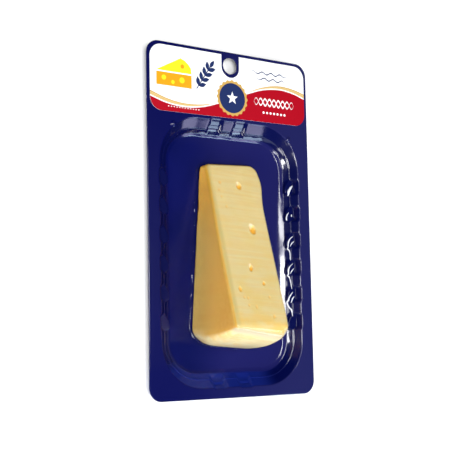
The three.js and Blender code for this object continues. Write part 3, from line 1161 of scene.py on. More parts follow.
    def _sections(self) -> list[WallStep]:
        """Reads the wall's section as a smooth curve through its steps.

        Returns:
            The finer steps, from the flange to the floor.
        """
        places = [0.0]
        for before, step in zip(self.wall, self.wall[1:]):
            run = math.dist((before.inset, before.depth), (step.inset, step.depth))
            places.append(places[-1] + run)
        fine = [
            mix(start, end, k / self.steps_between)
            for start, end in zip(places, places[1:])
            for k in range(self.steps_between)
        ]
        columns = []
        for name in ("inset", "depth", "pocket", "lug"):
            knots = [(place, getattr(step, name)) for place, step in zip(places, self.wall)]
            columns.append([curve_through(knots, place) for place in [*fine, places[-1]]])
        return [WallStep(*values) for values in zip(*columns)]

    def _inset(self, point: RimPoint, step: WallStep) -> float:
        """How far in from the rim the even wall stands.

        Args:
            point: The point of the rim.
            step: The step of the wall's section.

        Returns:
            The inset.
        """
        at_header, at_foot = max(point.out_y, 0.0) ** 2, max(-point.out_y, 0.0) ** 2
        first, last = self.ledge_span
        ledge = min(max((step.inset - first) / (last - first), 0.0), 1.0)
        wider = self.wider_at_header * at_header + self.wider_at_foot * at_foot
        inset = step.inset + wider * ledge + step.lug * self.lug_reach * point.lug
        inset -= step.pocket * self.pocket_depth * point.pocket
        lower = min(max(step.inset - self.lower_from, 0.0), self.fillet_from - self.lower_from)
        inset -= self.header_squeeze * lower * at_header
        to_right = smooth_step(*self.fillet_change, point.x)
        width = mix(self.left_fillet, curve_through(self.fillet_widths, point.y), to_right)
        inset -= max(step.inset - self.fillet_from, 0.0) * (1.0 - width)
        on_ramp = smooth_step(*self.ramp_start, step.depth)
        on_ramp *= smooth_step(*self.ramp_end, step.depth)
        return mix(inset, curve_through(self.ramp, step.depth), on_ramp * point.ramp)

    def _slack(self, point: RimPoint, depth: float) -> float:
        """Unevenness of the lower wall, which is less in the corners and none at the floor.

        Args:
            point: The point of the rim.
            depth: The depth on the wall.

        Returns:
            The added inset.
        """
        slack = self.unevenness * smooth_step(*self.uneven_depths, depth)
        slack *= smooth_step(self.depth, self.depth - self.even_over_floor, depth)
        in_corner = min(2.0 * abs(point.out_x * point.out_y), 1.0)
        flat, upright = self.wave_scales
        wave = noise.noise((point.x * flat, point.y * flat, depth * upright))
        return slack * (1.0 - self.even_in_corner * in_corner) * wave

    def _wall_ring(self, rim: Sequence[RimPoint], step: WallStep) -> Ring:
        """One ring of the wall.

        Args:
            rim: Points of the rim.
            step: The step of the wall's section.

        Returns:
            The ring.
        """
        ring = []
        for point in rim:
            inset = self._inset(point, step) + self._slack(point, step.depth)
            x, y = point.x - point.out_x * inset, point.y - point.out_y * inset
            ring.append(Vector((x, y, self.face - step.depth)) * MM)
        return ring

    def _edge(self, inset: float) -> Ring:
        """Outline of the sheet's face, drawn in by an inset."""
        return at_height(self.pack.inset(inset).outline(self.corner_count), self.face)

    def _hole(self, grow: float) -> Ring:
        """Outline of the hang hole in the sheet's face, drawn out."""
        radii = [self.hole_radius + grow] * self.hole_count
        return at_height(around((0.0, self.hole_y), radii), self.face)

    def _dome(self, place: Flat) -> bpy.types.Object:
        """One small round dome on the flange.

        Args:
            place: Where it stands.

        Returns:
            The dome.
        """
        deselect_all()
        bpy.ops.mesh.primitive_uv_sphere_add(segments=32, ring_count=20, radius=1.0)
        dome = bpy.context.object
        bpy.ops.object.mode_set(mode="EDIT")
        bpy.ops.mesh.select_all(action="SELECT")
        edit = bmesh.from_edit_mesh(dome.data)
        middle = Vector((*place, self.face - self.dome_sink))
        for vert in edit.verts:
            flare = 1.0 + self.dome_flare * smooth_step(self.dome_flare_height, 0.0, vert.co.z)
            vert.co.x *= self.dome_radius * flare
            vert.co.y *= self.dome_radius * flare
            vert.co.z *= self.dome_rise
            vert.co = (vert.co + middle) * MM
        bmesh.update_edit_mesh(dome.data)
        bpy.ops.object.mode_set(mode="OBJECT")
        return dome

    def _model_face(self) -> bpy.types.Object:
        """Models the sheet's upper side: the well's wall and floor, and the flange.

        Returns:
            The upper side, as an open surface.
        """
        rim = self.rim()
        rings = [self._wall_ring(rim, section) for section in self._sections()]
        middle = sum(rings[-1], Vector()) / len(rings[-1])
        floor = [[middle + (p - middle) * share for p in rings[-1]] for share in self.floor_shares]
        model = RingModel("tray_sheet", rings[0])
        for ring in rings[1:] + floor:
            last = model.extrude(ring)
        model.cap(last)
        outer = model.add_loop(self._edge(self.edge_band))
        model.extrude(self._edge(0.0))
        inner = model.add_loop(self._hole(self.edge_band))
        model.extrude(self._hole(0.0))
        model.fill(0, outer, inner)
        return model.done()

    def _give_thickness(self, sheet: bpy.types.Object) -> None:
        """Thickens the sheet downwards and softens its outer edges.

        Args:
            sheet: The sheet's upper side.
        """
        top = max(sheet.data.polygons, key=lambda face: face.area)
        apply_modifier(
            sheet,
            "SOLIDIFY",
            thickness=self.sheet * MM,
            offset=-1.0 if top.normal.z > 0 else 1.0,
            use_even_offset=True,
            thickness_clamp=0.0,
        )
        face_outwards(sheet)
        pick(sheet)
        bpy.ops.object.mode_set(mode="EDIT")
        bpy.ops.mesh.select_mode(type="EDGE")
        bpy.ops.mesh.select_all(action="DESELECT")
        edit = bmesh.from_edit_mesh(sheet.data)
        least = math.radians(self.edge_angle)
        for edge in edit.edges:
            middle = (edge.verts[0].co + edge.verts[1].co) / (2 * MM)
            from_hole = math.dist((0.0, self.hole_y), (middle.x, middle.y))
            by_hole = from_hole < self.hole_radius + self.edge_band / 2
            out = max(abs(middle.x) / self.pack.right, abs(middle.y) / self.pack.top)
            bends = len(edge.link_faces) == 2 and edge.calc_face_angle() > least
            edge.select = bends and (out > self.outer_share or by_hole)
        bmesh.update_edit_mesh(sheet.data)
        bpy.ops.mesh.bevel(offset=self.edge_round * MM, segments=2, affect="EDGES")
        bpy.ops.object.mode_set(mode="OBJECT")

    def build(self, finish: GlossySheet) -> bpy.types.Object:
        """Models the tray and dresses it.

        Args:
            finish: The sheet's finish.

        Returns:
            The tray, as one piece that stands for the CAD node.
        """
        sheet = self._model_face()
        self._give_thickness(sheet)
        tray = join([sheet, *(self._dome(place) for place in self.domes)])
        dress(tray, finish.material(), self.sharp)
        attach(tray, "root")
        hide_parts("tray")
        log.info("tray: %d faces", len(tray.data.polygons))
        return tray


# ------------------------------------------------------------------ cheese


@dataclass(frozen=True)
class Corner:
    """An upright corner of the wedge: which way it points, and its radius low and high."""

    across: int
    outward: int
    base: float
    face: float


@dataclass(frozen=True)
class Bulge:
    """A low bulge of the right-hand side: its radius on the wheel, its spread and its reach."""

    radius: float = 30.0
    spread: float = 11.0
    reach: float = 2.6


@dataclass(frozen=True)
class Wedge:
    """Form of the cheese: a sector of a low wheel that lies on one cut face.

    A place on it is (across, radius): how far it is to the right of the wedge's middle plane, and
    how far from the wheel's axis. The angle is measured up from the base.
    """

    wheel_radius: float = 137.7
    tip_radius: float = 14.9
    width: float = 42.6
    angle: float = math.radians(22.5)
    axis: Flat = (0.8, 53.6)
    turn: float = math.radians(-3.95)
    floor: float = 1.0
    tip_slant: float = 2.6
    rind_slant: float = 0.5
    lean: float = 0.015
    tip_lean: float = 2.2
    tip_lean_from: float = 85.0
    tip_lean_across: Flat = (0.3, -1.0)
    front_round: float = 2.4
    end_round: float = 8.0
    end_round_span: Flat = (6.0, 1.0)
    end_round_across: Flat = (-1.1, 1.0)
    least_round: float = 0.3
    base_round: float = 0.8
    end_bulge: float = 2.0
    end_bulge_angles: Flat = (math.radians(4), math.radians(16))
    rind_share: float = 0.9
    tuck_height: float = 14.0
    tuck_depth: float = 2.2
    bulge: Bulge = Bulge()
    corners: tuple[Corner, ...] = (
        Corner(1, -1, 6.0, 6.0),
        Corner(-1, -1, 2.5, 2.5),
        Corner(-1, 1, 12.0, 3.0),
        Corner(1, 1, 6.0, 6.0),
    )
    corner_steps: int = 10
    long_steps: int = 64
    end_steps: int = 22

    def outline(self, height_share: float, grow: float) -> list[Flat]:
        """Outline as (across, radius), from the right-hand side round the tip and the left.

        Args:
            height_share: Share of the height, from 0 at the base to 1 at the upper face.
            grow: How far the outline is drawn out.

        Returns:
            Points of the outline.
        """
        half = self.width / 2 + grow
        near, far = self.tip_radius - grow, self.wheel_radius + grow
        arcs = []
        for k, corner in enumerate(self.corners):
            rounding = mix(corner.base, corner.face, height_share**1.5) + grow
            rounding = max(rounding, self.least_round)
            radius = near + rounding if corner.outward < 0 else far - rounding
            middle = (corner.across * (half - rounding), -radius)
            arcs.append([(x, -y) for x, y in arc(middle, rounding, k, k + 1, self.corner_steps)])
        outline = []
        for k, points in enumerate(arcs):
            outline += points
            start, end = points[-1], arcs[(k + 1) % 4][0]
            steps = self.end_steps if k % 2 == 0 else self.long_steps
            for share in (i / steps for i in range(1, steps)):
                outline.append((mix(start[0], end[0], share), mix(start[1], end[1], share)))
        return [self._bend(point, half, near, far) for point in outline]

    def _bend(self, point: Flat, half: float, near: float, far: float) -> Flat:
        """Moves a point of the outline by the ends' slants and the bulge.

        Args:
            point: The point.
            half: Half of the outline's width.
            near: The radius at its tip.
            far: The radius at its rind.

        Returns:
            The moved point.
        """
        across, radius = point
        side_share = across / half
        length_share = (radius - near) / (far - near)
        slant = self.rind_slant * length_share - self.tip_slant * (1 - length_share)
        swell = math.exp(-(((radius - self.bulge.radius) / self.bulge.spread) ** 2))
        bump = self.bulge.reach * max(side_share, 0.0) ** 4 * swell
        return (across + bump, radius + slant * side_share)

    def point(self, across: float, radius: float, angle: float) -> Vector:
        """Point of the wedge in the tray's frame.

        Args:
            across: How far it is across the wedge.
            radius: How far it is from the wheel's axis.
            angle: Its angle up from the base.

        Returns:
            The point, in metres.
        """
        height = radius * math.sin(angle)
        lowness = max(1 - height / self.tuck_height, 0.0) ** 2
        near_rind = smooth_step(self.rind_share, 1.0, radius / self.wheel_radius)
        side_share = 2 * across / self.width
        across *= 1 - 2 * self.lean * height / self.width
        near_tip = smooth_step(self.tip_lean_from, self.tip_radius, radius)
        near_tip *= max(angle, 0.0) / self.angle
        across += self.tip_lean * near_tip * smooth_step(*self.tip_lean_across, side_share)
        swell = smooth_step(*self.end_bulge_angles, angle)
        radius += self.end_bulge * near_rind * swell * smooth_step(-1.0, 1.0, side_share)
        back = -radius * math.cos(angle) + self.tuck_depth * lowness * near_rind
        turned = Matrix.Rotation(self.turn, 3, "Z") @ Vector((across, back, height))
        return (turned + Vector((*self.axis, self.floor))) * MM

    def rounding(self, across: float, radius: float) -> float:
        """Radius of the rounding round the upper face, which is broad at the rind end.

        Args:
            across: The place across the wedge.
            radius: The place along it.

        Returns:
            The radius.
        """
        start, full = (self.wheel_radius - inset for inset in self.end_round_span)
        at_end = smooth_step(start, full, radius)
        at_end *= smooth_step(*self.end_round_across, 2 * across / self.width)
        return mix(self.front_round, self.end_round, at_end)

    def face_rings(self, grow: float, count: int) -> list[Ring]:
        """Rings of the rounding round the upper face, from the face outwards.

        Args:
            grow: How far the form is drawn out.
            count: How many steps the rounding has.

        Returns:
            The rings.
        """
        rings = []
        outermost = self.outline(1.0, grow)
        for k in range(count + 1):
            turn = k / count * math.pi / 2
            inward, downward = 1 - math.sin(turn), 1 - math.cos(turn)
            narrow = self.outline(1.0, grow - self.front_round * inward)
            broad = self.outline(1.0, grow - self.end_round * inward)
            ring = []
            for rim, (a0, r0), (a1, r1) in zip(outermost, narrow, broad):
                rounding = self.rounding(*rim)
                share = (rounding - self.front_round) / (self.end_round - self.front_round)
                across, radius = mix(a0, a1, share), mix(r0, r1, share)
                drop = rounding * downward - grow
                ring.append(self.point(across, radius, self.angle - drop / radius))
            rings.append(ring)
        return rings

    def side_rings(self, grow: float, count: int) -> list[Ring]:
        """Rings of the sides below the rounding, evenly spaced down to the base.

        Args:
            grow: How far the form is drawn out.
            count: How many steps the sides have.

        Returns:
            The rings between the rounding and the base.
        """
        rings = []
        for share in (1 - k / count for k in range(1, count)):
            ring = []
            for across, radius in self.outline(share, grow):
                top = self.angle - (self.rounding(across, radius) - grow) / radius
                ring.append(self.point(across, radius, top * share))
            rings.append(ring)
        return rings

    def low_ring(self, inset: float, height: float) -> Ring:
        """Ring at a height over the base."""
        return [self.point(a, r, height / r) for a, r in self.outline(0.0, -inset)]

    def base_rings(self, count: int) -> list[Ring]:
        """Rings of the small rounding at the base, down to the base itself.

        Args:
            count: How many steps it has.

        Returns:
            The rings.
        """
        turns = [k / count * math.pi / 2 for k in range(count, -1, -1)]
        size = self.base_round
        return [self.low_ring(size * (1 - math.sin(t)), size * (1 - math.cos(t))) for t in turns]

    def face_axes(self) -> tuple[Vector, Vector, Vector]:
        """Directions of the upper face.

        Returns:
            The directions across it, along it and out of it.
        """
        turn = Matrix.Rotation(self.turn, 3, "Z")
        along = Vector((0, -math.cos(self.angle), math.sin(self.angle)))
        out = Vector((0, math.sin(self.angle), math.cos(self.angle)))
        return turn @ Vector((1, 0, 0)), turn @ along, turn @ out


@dataclass(frozen=True)
class Eye:
    """A hollow in the upper face: its place on the wheel, its size and its depth."""

    radius: float
    across: float
    length: float
    width: float
    depth: float

    def painted_glint(self, u: float, v: float) -> float:
        """Strength of the painted highlight above a deep eye, where the film catches the light.

        Args:
            u: Place across it, in its half widths.
            v: Place along it, in its half lengths.

        Returns:
            The paleness, from 0 to 1.
        """
        if self.depth <= 1.0:
            return 0.0
        return 0.6 * smooth_step(0.9, 0.1, 1.3 * (u + 0.35) ** 2 + 2.0 * (v + 0.75) ** 2)

    def hollow(self, spread: float) -> float:
        """Depth at a place, which is below 0 on the lip that stands up round the eye.

        Args:
            spread: Squared distance from the middle, which is 1 at the rim.

        Returns:
            The depth.
        """
        lip = math.exp(-((math.sqrt(spread) - 1.05) ** 2) / 0.03) * 0.05
        return max(1.0 - spread, 0.0) ** 0.6 * self.depth - lip * min(self.depth, 0.8)

    def shade(self, spread: float) -> float:
        """Strength of the painted shade in the hollow at a place of the same kind, from 0 to 1."""
        return smooth_step(1.25, 0.35, spread) * min(0.3 + self.depth / 1.2, 1.0)


@dataclass
class Cheese:
    """The wedge of cheese with its eyes and small pits."""

    wedge: Wedge
    voxel: float = 0.55
    unevenness: float = 0.16
    face_steps: int = 8
    side_steps: int = 24
    base_steps: int = 4
    sharp: float = 60.0
    cut_waves: Flat = (0.06, 0.17)
    rim_waves: float = 0.9
    widest_spread: float = 2.2
    eyes: tuple[Eye, ...] = (
        Eye(32.2, 3.5, 5.4, 4.2, 1.3),
        Eye(65.1, 7.3, 7.4, 4.8, 1.8),
        Eye(94.3, -0.8, 5.0, 2.8, 1.1),
        Eye(104.6, 7.2, 3.2, 2.0, 0.8),
        Eye(110.3, -12.8, 4.0, 2.4, 0.6),
        Eye(49.9, -11.0, 2.4, 1.6, 0.2),
        Eye(31.8, -13.2, 2.6, 2.4, 0.2),
        Eye(37.5, -15.0, 2.0, 1.6, 0.2),
        Eye(42.7, -13.8, 2.0, 1.4, 0.15),
        Eye(116.1, -8.0, 2.2, 1.6, 0.2),
        Eye(115.7, -10.9, 1.8, 1.4, 0.2),
        Eye(121.0, -8.3, 2.0, 1.6, 0.2),
        Eye(121.9, -2.5, 3.0, 1.8, 0.2),
        Eye(114.0, 9.5, 2.2, 1.8, 0.2),
        Eye(127.1, 10.2, 3.4, 2.2, 0.25),
    )

    def _press(self, mesh: bpy.types.Mesh) -> None:
        """Presses the uneven cut and the eyes into the wedge, marking painted shade and highlights.

        Args:
            mesh: The wedge's mesh.
        """
        for name in ("pit", "painted_glint"):
            mesh.attributes.new(name, "FLOAT", "POINT")
        pit, painted_glint = mesh.attributes["pit"].data, mesh.attributes["painted_glint"].data
        across, along, out = self.wedge.face_axes()
        angle = self.wedge.angle
        middles = [self.wedge.point(eye.across, eye.radius, angle) for eye in self.eyes]
        normals = [vert.normal.copy() for vert in mesh.vertices]
        for vert, normal in zip(mesh.vertices, normals):
            place = vert.co / MM
            broad, fine = (noise.noise(place * scale) for scale in self.cut_waves)
            vert.co -= normal * (0.5 + 0.5 * broad + 0.25 * fine) * self.unevenness * MM
            if normal.dot(out) < 0.8:
                continue
            ragged = 1.0 + 0.5 * noise.noise(place * self.rim_waves)
            paleness = depth = 0.0
            for eye, middle in zip(self.eyes, middles):
                away = (vert.co - middle) / MM
                u, v = 2 * away.dot(across) / eye.width, 2 * away.dot(along) / eye.length
                # Painted highlight above each deep eye.
                paleness += eye.painted_glint(u, v)
                spread = (u * u + v * v) * ragged
                if spread < self.widest_spread:
                    vert.co -= out * eye.hollow(spread) * MM
                    # Painted shade in the eye's hollow.
                    depth = max(depth, eye.shade(spread))
            painted_glint[vert.index].value, pit[vert.index].value = paleness, depth

    def build(self, finish: CheesePaste) -> bpy.types.Object:
        """Models the cheese and dresses it.

        Args:
            finish: The cheese's finish.

        Returns:
            The cheese, as one piece that stands for the CAD node.
        """
        wedge = self.wedge
        rings = wedge.face_rings(0.0, self.face_steps) + wedge.side_rings(0.0, self.side_steps)
        cheese = body_through("cheese_wedge", rings + wedge.base_rings(self.base_steps))
        apply_modifier(cheese, "REMESH", mode="VOXEL", voxel_size=self.voxel * MM)
        apply_modifier(cheese, "SMOOTH", factor=0.5, iterations=6)
        self._press(cheese.data)
        dress(cheese, finish.material(wedge), self.sharp)
        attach(cheese, "root")
        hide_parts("cheese")
        log.info("cheese: %d faces", len(cheese.data.polygons))
        return cheese


# ------------------------------------------------------------------ film


@dataclass
class SkinFilm:
    """The clear film over the cheese, down to where it meets the floor of the well."""

    wedge: Wedge
    gap: float = 0.22
    thickness: float = 0.08
    cling: float = 0.5
    face_steps: int = 8
    side_steps: int = 16
    foot_steps: int = 7
    foot_height: Flat = (1.2, 3.6)
    foot_reach: Flat = (0.9, 3.4)
    foot_sink: float = 0.05
    foot_waves: Flat = (0.11, 0.4)
    cling_ends: float = -0.15
    seal_starts: float = 0.55
    sharp: float = 70.0

    def _foot_rings(self) -> list[Ring]:
        """Rings of the hollow bend where the film leaves the cheese for the floor.

        Returns:
            The rings, from the cheese outwards.
        """
        wall = self.wedge.low_ring(-self.gap, 0.0)
        outward = self.wedge.low_ring(-self.gap - 1.0, 0.0)
        rings = []
        for step in range(self.foot_steps + 1):
            turn = step / self.foot_steps * math.pi / 2
            ring = []
            for start, beyond in zip(wall, outward):
                broad, fine = (noise.noise(start / MM * scale) for scale in self.foot_waves)
                wave = min(max(0.5 + 0.5 * broad + 0.35 * fine, 0.0), 1.0)
                height = mix(*self.foot_height, wave) * (1 - math.sin(turn))
                reach = mix(*self.foot_reach, wave) * (1 - math.cos(turn))
                base = Vector((start.x, start.y, (self.wedge.floor - self.foot_sink) * MM))
                away = (beyond - start).normalized()
                ring.append(base + away * reach * MM + Vector((0, 0, height * MM)))
            rings.append(ring)
        return rings

    def _mark_cling(self, mesh: bpy.types.Mesh, first_foot: int) -> None:
        """Marks how far the film clings to the cheese or is sealed to the floor.

        Args:
            mesh: The film's mesh.
            first_foot: Number of the foot's first ring.
        """
        numbers = [item.value for item in mesh.attributes["ring"].data]
        cling = mesh.attributes.new("cling", "FLOAT", "POINT").data
        for item, number in zip(cling, numbers):
            share = (number - first_foot) / self.foot_steps
            on_cheese = self.cling * smooth_step(0.0, self.cling_ends, share)
            item.value = max(on_cheese, smooth_step(self.seal_starts, 1.0, share))

    def build(self, finish: ClearFilm) -> bpy.types.Object:
        """Models the film and dresses it.

        Args:
            finish: The film's finish.

        Returns:
            The film, as one piece that stands for the CAD node.
        """
        rings = self.wedge.face_rings(self.gap, self.face_steps)
        rings += self.wedge.side_rings(self.gap, self.side_steps)
        film = body_through("skin_film", rings + self._foot_rings(), closed=False)
        self._mark_cling(film.data, len(rings))
        apply_modifier(film, "SOLIDIFY", thickness=self.thickness * MM, offset=1.0)
        dress(film, finish.material(), self.sharp)
        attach(film, "root")
        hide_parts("film")
        log.info("film: %d faces", len(film.data.polygons))
        return film


@dataclass(frozen=True)
class Crease:
    """A crease of the film at a lug: its radius, and its path as (inset from the rim, along)."""

    lug: int
    radius: float
    path: tuple[Flat, ...]


@dataclass
class FilmCreases:
    """The creases that the film makes where it is drawn over the lugs of the right-hand side."""

    tray: Tray
    creases: tuple[Crease, ...] = (
        Crease(0, 1.15, ((1.8, 1.1), (3.8, -0.9), (5.3, -3.5), (5.6, -6.2))),
        Crease(1, 0.6, ((5.6, 0.8), (7.3, -1.5), (7.8, -4.0), (6.9, -5.2))),
        Crease(1, 0.5, ((3.2, -0.5), (3.4, -2.2))),
        Crease(
            2, 0.62, ((2.5, 2.8), (5.2, 0.8), (6.7, -2.0), (6.8, -5.2), (5.2, -7.9), (5.0, -14.2))
        ),
        Crease(2, 0.5, ((1.7, -0.7), (3.7, -2.3), (5.2, -4.6))),
        Crease(
            3, 0.62, ((3.1, 2.4), (5.8, 0.3), (7.2, -2.2), (6.9, -5.6), (5.6, -7.7), (4.6, -15.4))
        ),
        Crease(3, 0.5, ((2.5, -1.0), (4.3, -2.8), (5.7, -4.7))),
        Crease(
            4, 0.75, ((3.8, 1.3), (6.4, -1.5), (7.7, -4.3), (6.4, -9.1), (5.0, -11.2), (4.7, -15.4))
        ),
        Crease(4, 0.5, ((2.7, -1.7), (4.5, -3.6), (5.4, -6.2))),
    )
    samples: int = 22
    sides: int = 8
    lumpiness: float = 0.4
    lumps: float = 0.5
    ray_height: float = 30.0
    rise: float = 0.1
    sharp: float = 80.0

    def _path(self, crease: Crease, sheet: bpy.types.Object) -> Ring:
        """Points along a crease, on the sheet.

        Args:
            crease: The crease.
            sheet: The tray that it lies on.

        Returns:
            The points.
        """
        right, middle = self.tray.well.right, self.tray.side_lugs[crease.lug]
        insets = [(float(k), inset) for k, (inset, _) in enumerate(crease.path)]
        ways = [(float(k), way) for k, (_, way) in enumerate(crease.path)]
        points = []
        for k in range(self.samples + 1):
            share = k / self.samples * (len(crease.path) - 1)
            x, y = right - curve_through(insets, share), middle + curve_through(ways, share)
            start = Vector((x, y, self.ray_height)) * MM
            _, place, _, _ = sheet.ray_cast(start, Vector((0, 0, -1)))
            points.append(place + Vector((0, 0, self.rise * MM)))
        return points

    def _tube(self, crease: Crease, sheet: bpy.types.Object) -> bpy.types.Object:
        """One crease as a tapered tube.

        Args:
            crease: The crease.
            sheet: The tray that it lies on.

        Returns:
            The tube.
        """
        path = self._path(crease, sheet)
        turns = [2 * math.pi * i / self.sides for i in range(self.sides)]
        rings = []
        for k, place in enumerate(path):
            ahead = path[min(k + 1, self.samples)] - path[max(k - 1, 0)]
            sideways = ahead.cross(Vector((0, 0, 1))).normalized()
            upwards = sideways.cross(ahead).normalized()
            taper = math.sqrt(math.sin(math.pi * (k + 0.5) / (self.samples + 1)))
            lump = 0.8 + self.lumpiness * noise.noise(place / MM * self.lumps)
            radius = crease.radius * taper * lump * MM
            around_path = [sideways * math.cos(a) + upwards * math.sin(a) for a in turns]
            rings.append([place + outward * radius for outward in around_path])
        return body_through(f"film_crease_highlight_{crease.lug}", rings)

    def build(self, finish: CreaseHighlightPaint, sheet: bpy.types.Object) -> bpy.types.Object:
        """Models the creases and dresses them.

        Args:
            finish: Their finish.
            sheet: The tray that they lie on.

        Returns:
            The creases, as one piece, with the film's CAD node hidden.
        """
        bpy.context.view_layer.update()
        creases = join([self._tube(crease, sheet) for crease in self.creases])
        # The crease tubes' pale finish is a painted highlight of the film.
        dress(creases, finish.material(), self.sharp)
        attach(creases, "root")
        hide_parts("film")
        log.info("creases: %d", len(self.creases))
        return creases


# ------------------------------------------------------------------ header label


class Ink(Enum):
    """Inks of the header's print."""

    WHITE = PrintedInk("white_ground", display(250, 250, 250), unevenness=0.02)
    RED = PrintedInk("red_field", display(168, 6, 28))
    GOLD = PrintedInk("gold_band", display(203, 163, 88), unevenness=0.12)
    PALE_GOLD = PrintedInk("pale_gold_ink", display(232, 206, 150), unevenness=0.12)
    NAVY = PrintedInk("navy_ink", display(32, 46, 92))
    ORANGE = PrintedInk("orange_ink", display(250, 158, 26))
    YELLOW = PrintedInk("yellow_ink", display(255, 226, 40))


@dataclass(frozen=True)
class Emblem:
    """A plain picture of a wedge: its two sides, and eyes as (x, y, radius)."""

    left: float = -58.0
    right: float = -31.2
    bottom: float = 87.0
    middle: float = 95.8
    gap: float = 1.0
    rind: tuple[Flat, ...] = ((-31.6, 100.4), (-33.6, 103.2), (-36.4, 105.4), (-39.6, 106.6))
    eyes: tuple[Point, ...] = (
        (-52.4, 92.2, 1.7),
        (-45.6, 89.8, 1.3),
        (-38.6, 91.8, 2.0),
        (-38.2, 101.2, 1.4),
    )


@dataclass(frozen=True)
class Sprig:
    """A straight sprig of paired leaves, from its root along an angle in degrees."""

    root: Flat = (-27.4, 87.6)
    angle: float = 56.0
    length: float = 20.0
    stem: float = 0.7
    pairs: int = 4
    leaf: Flat = (6.4, 3.0)
    tip_leaf: Flat = (6.4, 2.8)
    spread: float = 40.0

    def placed(self, outline: Sequence[Flat], at: float = 0.0, lean: float = 0.0) -> list[Flat]:
        """Moves an outline onto the stem.

        Args:
            outline: The outline, drawn from its own start along +X.
            at: Where it starts, along the stem.
            lean: Its angle from the stem in degrees.

        Returns:
            The moved outline.
        """
        stem = Matrix.Rotation(math.radians(self.angle), 2)
        leaned = Matrix.Rotation(math.radians(self.angle + lean), 2)
        start = Vector(self.root) + stem @ Vector((at, 0.0))
        return [tuple(start + leaned @ Vector(point)) for point in outline]


@dataclass(frozen=True)
class Stroke:
    """A wavy stroke that tapers at its ends, and where in its swing it starts, in turns."""

    start: float
    end: float
    y: float
    swing: float
    width: float
    turn: float


@dataclass(frozen=True)
class Beads:
    """A level row of round beads."""

    name: str
    count: int
    first: Flat
    pitch: float
    radius: float


